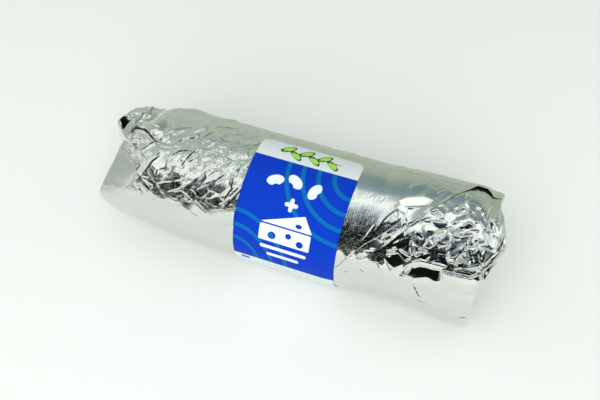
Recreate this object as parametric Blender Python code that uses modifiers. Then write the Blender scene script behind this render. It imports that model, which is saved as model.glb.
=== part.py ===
"""A rolled flour-tortilla wrap, shut in aluminium foil, with a plain paper sticker round its middle.

The roll lies along X with +Z up and its underside on z = 0. Elevation is the angle round the roll:
0 degrees faces the front (-Y), 90 degrees the top and 180 degrees the back. Lengths are in metres.
"""
import math

import bmesh
import bpy
import numpy as np
from mathutils import geometry

MM = 0.001

# The roll
RADIUS = 24.4 * MM
FLOOR_DEPTH = 23.4 * MM            # from the axis down to the flat strip that the roll rests on
LEFT_HUB = -50.0 * MM              # beyond these points on the axis the skin is swept round an end
RIGHT_HUB = 52.0 * MM
EDGE_SHARPNESS = 34.0              # how tightly the end facets meet; more is sharper
LEAST_SLANT = 0.12                 # the barrel and the end planes are cut off where a ray grazes them
LEAST_FACING = 0.02
BARREL_PASSES = 8                  # rounds in which a ray finds the barrel's radius where it meets it

# Distance from the axis to the skin along the lower front and the upper back, by place along X
FRONT_X = (-75, -69, -64, -55, -46, -38, -29, 19, 26, 34, 49, 54, 58, 62, 72)
FRONT_R = (17.2, 20.3, 21.8, 22.5, 23.1, 23.8, 24.4, 24.4, 23.5, 23.1, 22.5, 22.2, 23.5, 24.1, 24.4)
BACK_X = (-66, -60, -56, -48, -40, -32, 32, 38, 45, 64, 68)
BACK_R = (21.9, 21.9, 23.2, 24.1, 24.3, 24.5, 24.5, 25.1, 25.6, 25.7, 25.0)
FRONT_ELEVATION = -40.0
BACK_ELEVATION = 140.0
PROFILE_REACH = 80.0               # degrees over which each of those two outlines fades out

# Flat facets of the folded left end: outward normal, and distance from that end's hub
LEFT_FACETS = (
    ((-0.644, -0.447, 0.622), 21.0),     # broad facet that faces the front
    ((-0.977, 0.148, 0.155), 24.0),      # end face, upper part
    ((-0.937, 0.000, -0.349), 27.2),     # end face, tucked in below
    ((-0.560, 0.520, 0.645), 19.0),      # facet under the loose flap
)

# Rim of the right end: place along X by elevation, and the same for the middle of the end face
END_ELEVATION = (-180, -45, 12, 27, 38, 48, 56, 65, 73, 85, 98, 112, 135, 180)
END_X = (70.4, 71.5, 71.3, 72.2, 73.4, 74.2, 75.6, 76.6, 76.2, 74.6, 72.9, 72.3, 71.6, 70.4)
END_MIDDLE = 72.0 * MM
END_BLEND = (0.05, 0.7)            # from middle to rim, as cosines of the angle off the axis

# Loose free edge of the foil: elevation of the edge by place along X
SEAM_X = (-58, -55, -51, -46, -38, -33, -28, -23, -16, 20, 23, 26, 37, 46, 50, 55, 61, 67, 74)
SEAM_ELEVATION = (44, 36, 26, 23, 21, 20, 13, 7, 3, 3, 9, 23, 39, 67, 83, 102, 127, 156, 190)
SEAM_STEP = 0.7 * MM
SEAM_START = (-60.0 * MM, -50.0 * MM)    # the step fades in and out over these stretches
SEAM_END = (72.0 * MM, 80.0 * MM)

# Sticker
LABEL_LEFT = -15.1 * MM
LABEL_RIGHT = 22.9 * MM
LABEL_LOW = -66.0
LABEL_HIGH = 109.0
LABEL_CORNER = 3.2 * MM
LABEL_GAP = 0.3 * MM
LABEL_THICKNESS = 0.35 * MM
LABEL_MARGIN = 1.5 * MM            # the foil lies smooth this far past the sticker
LABEL_FADE = 7.0 * MM
LABEL_CROWDING = 0.05              # how far the mesh's rows crowd towards the rounded ends

# Crumpled facets
FACET_SIZE = 6.5 * MM
FACET_HEIGHT = 0.85 * MM
FACET_JITTER = 0.42                # share of its cell by which a facet's corner strays
SEED = 7
CALM_FRONT = (0.75, -35.0, 70.0)   # the lower front is smoother: by how much, centre and reach in degrees
CALM_RIGHT = 0.5                   # so is the stretch right of the sticker, between these two fades
CALM_RIGHT_FROM = (20.0 * MM, 26.0 * MM)
CALM_RIGHT_TO = (36.0 * MM, 44.0 * MM)
CALM_END = 0.7                     # and so are the end faces, beyond these angles off the axis
CALM_END_FROM = (0.8, 1.0)
CALM_GATHER = 0.8                  # the gathered end has folds of its own

# Gathered end, pressed flat against the top of the roll near its right end: x, elevation, height (mm)
GATHER = (
    (67.5, 74, -1.9), (60.5, 37, -1.5),
    (58, 92, 1.0), (63, 103, -0.4), (70, 92, 0.9), (72, 60, 0.5), (64, 60, 1.3), (58, 68, -1.0),
    (55, 55, 1.1), (51, 72, -0.5), (47, 58, 0.7), (51, 44, -0.9), (56, 44, 1.0), (64, 46, 0.9),
    (69, 34, -0.5), (65, 24, 0.6), (58, 25, -1.7), (50, 24, -1.9), (47, 34, 0.8), (53, 33, 0.9),
    (43, 42, -0.7), (41, 56, 0.6), (62, 80, 0.4), (66, 56, -0.6),
)
GATHER_FROM = 41.0 * MM            # the gathered folds fade in from here
GATHER_FULL = 47.0 * MM
GATHER_LOW = 18.0
GATHER_HIGH = 108.0
GATHER_FADE = 10.0
GATHER_RIM = 75.0 * MM             # level border round the folds: past the rim along X, past the sides
GATHER_PAST_RIM = 8.0 * MM
GATHER_PAST_SIDE = 14.0

# Pleats across both end faces
PLEATS = 11
PLEAT_HEIGHT = 1.3 * MM
PLEAT_TWIST = 1.1                  # radians that a right-hand pleat turns between rim and middle
PLEAT_TWIST_LEFT = -0.77
PLEAT_SPREAD = (0.35, 2, 1.0)      # unevenness of their spacing: size, waves round the rim, phase
PLEAT_SLOPE = 0.75                 # share of a pleat's width on its gentle side
PLEAT_FROM = (0.85, 1.05)          # angles off the axis, where they start inside the rim
PLEAT_TO = (1.3, 1.52)             # and where they die out at the middle

# Loose flap over the left end: an open hood whose front edge stands clear of the folded end
FLAP_ROOT = -51.0 * MM
FLAP_TIP = -68.6 * MM              # its left edge at the front
FLAP_HEEL = -64.0 * MM             # its left edge at the back
FLAP_FRONT_AT_ROOT = 73.0
FLAP_FRONT_AT_TIP = 91.0
FLAP_BACK = 168.0
FLAP_TIP_RADIUS = 20.9 * MM
FLAP_THICKNESS = 1.2 * MM
FLAP_SUNK = 0.5 * MM               # how deep its root lies in the roll
FLAP_LEAVES_FROM = 0.3             # share of its length after which it leaves the roll
FLAP_HEEL_FROM = 0.75              # share of its width at which the left edge reaches the heel
FLAP_HUMP = (0.3 * MM, 135.0, 40.0)      # height, elevation of the middle and reach in degrees
FLAP_CLOSED_FROM = 0.74            # share of its length after which it turns down to the end face
FLAP_TURN_DOWN = 11.0 * MM
FLAP_TURN_SLOPE = 1.5 * MM
FLAP_TURN_BULGE = 2.2 * MM         # how far the turned-down edge bulges to the left
FLAP_TURN_ROUND = 0.7              # how far round the bulge goes, in half turns

# Fineness of the meshes
SKIN_RINGS = 56
SKIN_SIDES = 84
LABEL_ROWS = 40
LABEL_COLUMNS = 8
FLAP_ROWS = 14
FLAP_COLUMNS = 14
SHARP_ANGLE = math.radians(12)
POLE = 0.999999                    # height of the ball's poles, where the relief is left out
POLE_INSET = 0.01 * MM
NORMAL_STEP = (0.4 * MM, 1.0)      # steps along and round the skin to either side of a normal
FARTHEST_TURN = 1.55


def remove_everything():
    for item in list(bpy.context.scene.objects):
        bpy.data.objects.remove(item, do_unlink=True)


def new_collection(name):
    group = bpy.data.collections.new(name)
    bpy.context.scene.collection.children.link(group)
    return group


def principled(name, colour, roughness, metallic):
    material = bpy.data.materials.new(name)
    material.use_nodes = True
    shader = material.node_tree.nodes["Principled BSDF"]
    shader.inputs["Base Color"].default_value = (*colour, 1.0)
    shader.inputs["Roughness"].default_value = roughness
    shader.inputs["Metallic"].default_value = metallic
    return material


def smooth_step(low, high, value):
    share = np.clip((value - low) / (high - low), 0.0, 1.0)
    return share * share * (3.0 - 2.0 * share)


def angle_window(elevation, centre, reach):
    """1 at the centre angle, falling smoothly to 0 at reach degrees to either side"""
    away = np.abs((elevation - centre + 180.0) % 360.0 - 180.0)
    return np.where(away < reach, np.cos(np.clip(away / reach, 0, 1) * math.pi / 2) ** 2, 0.0)


def barrel_radius(x, elevation):
    """Distance from the axis to the skin, before the ends are folded"""
    front = np.interp(x / MM, FRONT_X, FRONT_R) * MM - RADIUS
    back = np.interp(x / MM, BACK_X, BACK_R) * MM - RADIUS
    return (RADIUS + front * angle_window(elevation, FRONT_ELEVATION, PROFILE_REACH)
            + back * angle_window(elevation, BACK_ELEVATION, PROFILE_REACH))


def skin_base(meridian, elevation):
    """Uncrumpled skin. Meridian is the distance along the roll, carried on round each end"""
    meridian = np.asarray(meridian, float)
    elevation = np.asarray(elevation, float)
    hub = np.clip(meridian, LEFT_HUB, RIGHT_HUB)
    turn = np.clip((meridian - hub) / RADIUS, -math.pi / 2, math.pi / 2)
    angle = np.radians(elevation)
    ray = np.stack([np.sin(turn), -np.cos(turn) * np.cos(angle), np.cos(turn) * np.sin(angle)], -1)
    reach = np.full(meridian.shape, RADIUS)
    for _ in range(BARREL_PASSES):
        outward = np.maximum(np.cos(turn), LEAST_SLANT)
        reach = barrel_radius(hub + reach * ray[..., 0], elevation) / outward
    crowding = reach ** -EDGE_SHARPNESS
    for normal, distance in LEFT_FACETS:
        facing = np.maximum(ray @ np.array(normal), LEAST_FACING)
        crowding = crowding + np.where(meridian < hub, (distance * MM / facing) ** -EDGE_SHARPNESS, 0.0)
    rim = np.interp((elevation + 180.0) % 360.0 - 180.0, END_ELEVATION, END_X) * MM
    end = END_MIDDLE + (rim - END_MIDDLE) * smooth_step(*END_BLEND, np.cos(turn))
    facing = np.maximum(ray[..., 0], LEAST_FACING)
    crowding = crowding + np.where(meridian > hub, ((end - RIGHT_HUB) / facing) ** -EDGE_SHARPNESS, 0.0)
    reach = crowding ** (-1.0 / EDGE_SHARPNESS)
    point = ray * reach[..., None]
    point[..., 0] += hub
    return point


def skin_normal(meridian, elevation):
    """Outward normal of the uncrumpled skin"""
    along, around = NORMAL_STEP
    low = np.clip(meridian - along, LEFT_HUB - RADIUS * FARTHEST_TURN, None)
    high = np.clip(meridian + along, None, RIGHT_HUB + RADIUS * FARTHEST_TURN)
    ahead = skin_base(high, elevation) - skin_base(low, elevation)
    aside = skin_base(meridian, elevation + around) - skin_base(meridian, elevation - around)
    normal = np.cross(ahead, aside)
    return normal / np.maximum(np.linalg.norm(normal, axis=-1, keepdims=True), 1e-12)


def meridian_of(x):
    """Meridian of the place on the skin that is x along the axis"""
    past_right = np.maximum(x - RIGHT_HUB, 0.0)
    past_left = np.maximum(LEFT_HUB - x, 0.0)
    inside = np.clip(x, LEFT_HUB, RIGHT_HUB)
    return inside + RADIUS * (np.arctan(past_right / RADIUS) - np.arctan(past_left / RADIUS))


def facet_heights(meridian, elevation, corners, heights):
    """Height at each place, flat across every triangle between the corners"""
    places = np.stack([meridian, np.radians(elevation) * RADIUS], -1)
    corner_list = [tuple(corner) for corner in corners]
    triangles = geometry.delaunay_2d_cdt(corner_list, [], [], 0, 1e-9)[2]
    result = np.zeros(len(places))
    for triangle in triangles:
        first, second, third = (corners[index] for index in triangle)
        low = np.minimum(np.minimum(first, second), third)
        high = np.maximum(np.maximum(first, second), third)
        near = np.nonzero(np.all((places >= low - 1e-9) & (places <= high + 1e-9), axis=1))[0]
        if len(near) == 0:
            continue
        frame = np.column_stack([second - first, third - first])
        share = (places[near] - first) @ np.linalg.inv(frame).T
        inside = (share[:, 0] >= -1e-6) & (share[:, 1] >= -1e-6) & (share.sum(axis=1) <= 1 + 1e-6)
        share = share[inside]
        level = heights[list(triangle)]
        result[near[inside]] = (level[0] + share[:, 0] * (level[1] - level[0])
                                + share[:, 1] * (level[2] - level[0]))
    return result


def crumple(meridian, elevation, size, seed):
    """Random flat facets of about the given size, between -1 and 1, that meet round the roll"""
    draw = np.random.default_rng(seed)
    girth = 2 * math.pi * RADIUS
    columns = round(girth / size)
    rows = round((RIGHT_HUB - LEFT_HUB + math.pi * RADIUS) / size) + 2
    start = LEFT_HUB - math.pi / 2 * RADIUS - size
    jitter = (-FACET_JITTER, FACET_JITTER, (rows, columns))
    along = start + size * (np.arange(rows)[:, None] + draw.uniform(*jitter))
    around = girth / columns * (np.arange(columns)[None, :] + draw.uniform(*jitter))
    level = draw.uniform(-1, 1, (rows, columns))
    turns = (-1, 0, 1)
    corners = np.concatenate([np.stack([along.ravel(), around.ravel() + turn * girth], -1) for turn in turns])
    return facet_heights(meridian, elevation % 360.0, corners, np.tile(level.ravel(), len(turns)))


def label_cover(meridian, elevation):
    """1 under the sticker, 0 well clear of it"""
    lift = (elevation + 180.0) % 360.0 - 180.0
    around = RADIUS * np.radians(lift)
    beside = np.maximum(LABEL_LEFT - meridian, meridian - LABEL_RIGHT)
    above = np.maximum(RADIUS * math.radians(LABEL_LOW) - around, around - RADIUS * math.radians(LABEL_HIGH))
    clear = np.hypot(np.maximum(beside, 0), np.maximum(above, 0))
    return 1.0 - smooth_step(LABEL_MARGIN, LABEL_MARGIN + LABEL_FADE, clear)


def gather_cover(meridian, elevation):
    """1 where the gathered right end is pressed against the roll"""
    lift = (elevation + 90.0) % 360.0 - 90.0
    return (smooth_step(GATHER_FROM, GATHER_FULL, meridian)
            * smooth_step(GATHER_LOW - GATHER_FADE, GATHER_LOW, lift)
            * (1 - smooth_step(GATHER_HIGH, GATHER_HIGH + GATHER_FADE, lift)))


def gather_heights(meridian, elevation):
    """Chosen folds of the gathered right end"""
    lift = (elevation + 90.0) % 360.0 - 90.0
    table = np.array(GATHER)
    corners = np.stack([meridian_of(table[:, 0] * MM), np.radians(table[:, 1]) * RADIUS], -1)
    border_along = (GATHER_FROM, meridian_of(GATHER_RIM) + GATHER_PAST_RIM)
    angles = (GATHER_LOW - GATHER_PAST_SIDE, 45, 75, GATHER_HIGH + GATHER_PAST_SIDE)
    border = [(along, math.radians(angle) * RADIUS) for along in border_along for angle in angles]
    corners = np.concatenate([corners, np.array(border)])
    heights = np.concatenate([table[:, 2] * MM, np.zeros(len(border))])
    return facet_heights(meridian, lift, corners, heights)


def seam_height(meridian, elevation):
    """The outermost turn of foil, which ends in a step at its free edge"""
    edge = np.interp(meridian, meridian_of(np.array(SEAM_X) * MM), SEAM_ELEVATION)
    behind = (elevation - edge) % 360.0
    fade = smooth_step(*SEAM_START, meridian) * (1 - smooth_step(*SEAM_END, meridian))
    return SEAM_STEP * (0.5 - behind / 360.0) * fade


def pleat_height(meridian, elevation):
    """Overlapping pleats that wind in to the middle of each end face"""
    turn = np.clip(np.maximum(meridian - RIGHT_HUB, LEFT_HUB - meridian) / RADIUS, 0, math.pi / 2)
    twist = np.where(meridian > 0, PLEAT_TWIST, PLEAT_TWIST_LEFT)
    phase = PLEATS * (np.radians(elevation) + twist * turn) / (2 * math.pi)
    size, waves, start = PLEAT_SPREAD
    ramp = (phase + size * np.sin(waves * np.radians(elevation) + start)) % 1.0
    saw = np.where(ramp < PLEAT_SLOPE, ramp / PLEAT_SLOPE, (1 - ramp) / (1 - PLEAT_SLOPE))
    on_face = smooth_step(*PLEAT_FROM, turn) * (1 - smooth_step(*PLEAT_TO, turn))
    return -PLEAT_HEIGHT * saw * on_face


def skin_relief(meridian, elevation):
    """How far the crumpled skin stands off the uncrumpled one"""
    crease = crumple(meridian, elevation, FACET_SIZE, SEED)
    calmer, centre, reach = CALM_FRONT
    strength = 1.0 - calmer * angle_window(elevation, centre, reach)
    beside_label = smooth_step(*CALM_RIGHT_FROM, meridian) * (1 - smooth_step(*CALM_RIGHT_TO, meridian))
    strength = strength * (1 - CALM_RIGHT * beside_label)
    turn = np.maximum(meridian - RIGHT_HUB, LEFT_HUB - meridian) / RADIUS
    strength = strength * (1 - CALM_END * smooth_step(*CALM_END_FROM, turn))
    gathered = gather_cover(meridian, elevation)
    relief = crease * strength * FACET_HEIGHT * (1 - CALM_GATHER * gathered)
    relief = relief + gathered * gather_heights(meridian, elevation)
    relief = relief + seam_height(meridian, elevation)
    relief = relief * (1 - label_cover(meridian, elevation))
    return relief + pleat_height(meridian, elevation)


def skin(meridian, elevation, relief):
    """Point that stands off the uncrumpled skin by the relief, never below the strip it rests on"""
    point = skin_base(meridian, elevation) + skin_normal(meridian, elevation) * relief[..., None]
    point[..., 2] = np.maximum(point[..., 2], -FLOOR_DEPTH)
    return point


def add_object(name, mesh_maker, group, material=None):
    data = bpy.data.meshes.new(name)
    bm = bmesh.new()
    mesh_maker(bm)
    bm.to_mesh(data)
    bm.free()
    item = bpy.data.objects.new(name, data)
    group.objects.link(item)
    if material:
        data.materials.append(material)
    return item


def make_skin(bm):
    """A UV sphere whose rings are laid along the roll"""
    bmesh.ops.create_uvsphere(bm, u_segments=SKIN_SIDES, v_segments=SKIN_RINGS, radius=1.0)
    ball = np.array([vertex.co for vertex in bm.verts])
    latitude = np.arcsin(np.clip(ball[:, 2], -1, 1))
    pole = np.abs(ball[:, 2]) > POLE
    length = RIGHT_HUB - LEFT_HUB + math.pi * RADIUS
    meridian = (LEFT_HUB + RIGHT_HUB) / 2 + latitude / math.pi * length
    elevation = np.degrees(np.arctan2(ball[:, 1], ball[:, 0]))
    meridian = np.where(pole, meridian - np.sign(latitude) * POLE_INSET, meridian)
    relief = np.where(pole, 0.0, skin_relief(meridian, elevation))
    placed = skin(meridian, elevation, relief)
    for vertex, point in zip(bm.verts, placed):
        vertex.co = point
    bmesh.ops.recalc_face_normals(bm, faces=bm.faces)
    bmesh.ops.triangulate(bm, faces=bm.faces, quad_method="SHORT_EDGE")


def make_label(bm):
    """A grid with rounded corners, laid on the skin"""
    bmesh.ops.create_grid(bm, x_segments=LABEL_COLUMNS, y_segments=LABEL_ROWS, size=1.0)
    flat = np.array([vertex.co for vertex in bm.verts])
    low = RADIUS * math.radians(LABEL_LOW)
    high = RADIUS * math.radians(LABEL_HIGH)
    share = (flat[:, 1] + 1) / 2
    around = low + (high - low) * (share - LABEL_CROWDING * np.sin(2 * math.pi * share))
    to_end = np.clip(np.minimum(around - low, high - around), 0, LABEL_CORNER)
    inset = LABEL_CORNER - np.sqrt(LABEL_CORNER ** 2 - (LABEL_CORNER - to_end) ** 2)
    half_width = (LABEL_RIGHT - LABEL_LEFT) / 2 - inset
    meridian = (LABEL_LEFT + LABEL_RIGHT) / 2 + flat[:, 0] * half_width
    elevation = np.degrees(around / RADIUS)
    point = skin_base(meridian, elevation) + skin_normal(meridian, elevation) * LABEL_GAP
    for vertex, place in zip(bm.verts, point):
        vertex.co = place
    bmesh.ops.recalc_face_normals(bm, faces=bm.faces)


def make_flap(bm):
    """A sheet that leaves the roll at its root, stands off the folded end and turns down at its left edge"""
    bmesh.ops.create_grid(bm, x_segments=FLAP_COLUMNS, y_segments=FLAP_ROWS, size=1.0)
    flat = np.array([vertex.co for vertex in bm.verts])
    along = (flat[:, 0] + 1) / 2
    around = (flat[:, 1] + 1) / 2
    out = np.minimum(along / FLAP_CLOSED_FROM, 1.0)
    down = np.clip((along - FLAP_CLOSED_FROM) / (1 - FLAP_CLOSED_FROM), 0, 1)
    edge = FLAP_TIP + (FLAP_HEEL - FLAP_TIP) * smooth_step(0.0, FLAP_HEEL_FROM, around)
    x = FLAP_ROOT + (edge - FLAP_ROOT) * out
    front = FLAP_FRONT_AT_ROOT + (FLAP_FRONT_AT_TIP - FLAP_FRONT_AT_ROOT) * out
    elevation = front + (FLAP_BACK - front) * around
    rooted = barrel_radius(x, elevation) - FLAP_SUNK
    radius = rooted + (FLAP_TIP_RADIUS - rooted) * smooth_step(FLAP_LEAVES_FROM, 1.0, out)
    hump, centre, reach = FLAP_HUMP
    radius = radius + hump * np.sin(math.pi * out) * angle_window(elevation, centre, reach)
    radius = radius - FLAP_TURN_DOWN * (1 - np.cos(down * math.pi / 2)) - FLAP_TURN_SLOPE * down
    x = x - FLAP_TURN_BULGE * np.sin(np.sin(down * math.pi / 2) * math.pi * FLAP_TURN_ROUND)
    angle = np.radians(elevation)
    placed = np.stack([x, -radius * np.cos(angle), radius * np.sin(angle)], -1)
    for vertex, point in zip(bm.verts, placed):
        vertex.co = point
    bmesh.ops.recalc_face_normals(bm, faces=bm.faces)


def thicken(item, thickness, offset):
    shell = item.modifiers.new("thickness", "SOLIDIFY")
    shell.thickness = thickness
    shell.offset = offset
    shell.use_even_offset = True


def place_on_floor(items):
    """Where everything goes so that the box's middle is over the origin and its base at z = 0"""
    bpy.context.view_layer.update()
    graph = bpy.context.evaluated_depsgraph_get()
    corners = []
    for item in items:
        shape = item.evaluated_get(graph)
        mesh = shape.to_mesh()
        corners.extend([tuple(shape.matrix_world @ vertex.co) for vertex in mesh.vertices])
        shape.to_mesh_clear()
    corners = np.array(corners)
    middle = (corners.min(axis=0) + corners.max(axis=0)) / 2
    return (-middle[0], -middle[1], -corners[:, 2].min())


def main():
    remove_everything()
    part = new_collection("foil_wrapped_roll")
    guides = new_collection("cutters")
    foil = principled("foil", (0.78, 0.79, 0.77), 0.24, 1.0)
    paper = principled("label_paper", (0.01, 0.05, 0.62), 0.45, 0.0)

    wrap = add_object("foil_wrap", make_skin, part, foil)
    flap = add_object("loose_flap", make_flap, guides)
    thicken(flap, FLAP_THICKNESS, -1.0)
    flap.hide_render = True
    flap.display_type = "WIRE"
    join = wrap.modifiers.new("join flap", "BOOLEAN")
    join.operation = "UNION"
    join.object = flap
    join.solver = "EXACT"

    label = add_object("label", make_label, part, paper)
    thicken(label, LABEL_THICKNESS, 1.0)

    for item in (wrap, label):
        item.data.shade_smooth()
        item.data.set_sharp_from_angle(angle=SHARP_ANGLE)
    place = place_on_floor((wrap, label))
    for item in (wrap, flap, label):
        item.location = place


main()
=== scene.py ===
import math

import bpy
import numpy as np
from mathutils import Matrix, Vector, geometry


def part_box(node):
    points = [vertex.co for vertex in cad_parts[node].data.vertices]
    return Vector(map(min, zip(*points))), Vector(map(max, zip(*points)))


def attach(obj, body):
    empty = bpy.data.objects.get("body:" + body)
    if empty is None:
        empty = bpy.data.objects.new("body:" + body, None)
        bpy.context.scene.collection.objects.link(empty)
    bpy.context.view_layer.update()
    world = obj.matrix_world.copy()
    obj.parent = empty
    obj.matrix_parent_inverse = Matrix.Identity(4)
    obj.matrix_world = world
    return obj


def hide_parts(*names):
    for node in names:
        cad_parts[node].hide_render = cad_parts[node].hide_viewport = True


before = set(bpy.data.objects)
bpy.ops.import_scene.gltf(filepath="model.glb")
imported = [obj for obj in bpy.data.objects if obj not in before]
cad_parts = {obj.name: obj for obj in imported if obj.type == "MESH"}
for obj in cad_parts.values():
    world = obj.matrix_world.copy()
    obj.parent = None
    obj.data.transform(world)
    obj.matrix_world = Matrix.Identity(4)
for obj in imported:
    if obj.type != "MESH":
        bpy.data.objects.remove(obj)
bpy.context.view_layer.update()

# ---------------------------------------------------------------------------------------------
# A shut roll in crumpled foil with a paper sticker. Lengths are in metres unless a comment says mm.
# Elevation is the angle round the roll: 0 degrees faces the front (-Y), 90 the top, 180 the back.
# ---------------------------------------------------------------------------------------------
MM = 0.001
TINY = 1e-12                       # keeps a division from failing

# The roll, as in the part's own construction, with the left end's flats fitted closer to the photograph
RADIUS = 24.4 * MM
FLOOR_DEPTH = 23.4 * MM            # from the axis down to the flat strip that the roll rests on
LEFT_HUB = -50.0 * MM              # beyond these points on the axis the skin is swept round an end
RIGHT_HUB = 52.0 * MM
EDGE_SHARPNESS = 34.0              # how tightly the end facets meet; more is sharper
LEAST_SLANT = 0.12                 # the barrel and the end planes are cut off where a ray grazes them
LEAST_FACING = 0.02
BARREL_PASSES = 8                  # rounds in which a ray finds the barrel's radius where it meets it
# Outline of the barrel, front and back: places along X and radii there, in mm
FRONT_X = (-75, -69, -64, -55, -46, -38, -29, 19, 26, 34, 49, 54, 58, 62, 72)
FRONT_R = (17.2, 20.3, 21.8, 22.5, 23.1, 23.8, 24.4, 24.4, 23.5, 23.1, 22.5, 22.2, 23.5, 24.1, 24.4)
BACK_X = (-66, -60, -56, -48, -40, -32, 32, 38, 45, 64, 68)
BACK_R = (21.9, 21.9, 23.2, 24.1, 24.3, 24.5, 24.5, 25.1, 25.6, 25.7, 25.0)
FRONT_ELEVATION = -40.0
BACK_ELEVATION = 140.0
PROFILE_REACH = 80.0               # degrees over which each of those two outlines fades out
# Flats of the left end: outward direction and distance from the left hub in mm
LEFT_FACETS = (
    ((-0.644, -0.447, 0.622), 21.0),
    ((-0.960, 0.148, 0.238), 22.3),
    ((-0.937, 0.000, -0.349), 26.4),
    ((-0.469, 0.331, 0.819), 23.0),
)
# Rim of the right end: elevations and places along X in mm
END_ELEVATION = (-180, -45, 12, 27, 38, 48, 56, 65, 73, 85, 98, 112, 135, 180)
END_X = (70.4, 71.5, 71.3, 72.2, 73.4, 74.2, 75.6, 76.6, 76.2, 74.6, 72.9, 72.3, 71.6, 70.4)
END_MIDDLE = 72.0 * MM
END_BLEND = (0.05, 0.7)            # from middle to rim, as cosines of the angle off the axis
NORMAL_STEP = 0.4 * MM             # a slope is measured over this much to either side along the roll,
NORMAL_TURN = 1.0                  # and this many degrees to either side round it
LAST_TURN = 1.55                   # radians round an end, just short of its middle
GIRTH = 2 * math.pi * RADIUS

# Sticker: edges along X, and elevations of its two ends
LABEL_LEFT = -15.1 * MM
LABEL_RIGHT = 22.9 * MM
LABEL_LOW = -66.0
LABEL_HIGH = 109.0
LABEL_CORNER = 3.2 * MM
LABEL_GAP = 0.3 * MM
LABEL_THICKNESS = 0.35 * MM
FIELD_LOW = -10.5                  # elevation of the coloured field's lower edge
FIELD_HIGH = 87.5

# Where the roll's axis passes in the frame, read back from the sticker's solid
label_low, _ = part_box("label")
AXIS = np.array([
    label_low[0] - LABEL_LEFT,
    label_low[1] + RADIUS + LABEL_GAP + LABEL_THICKNESS,
    FLOOR_DEPTH,
])

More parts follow.
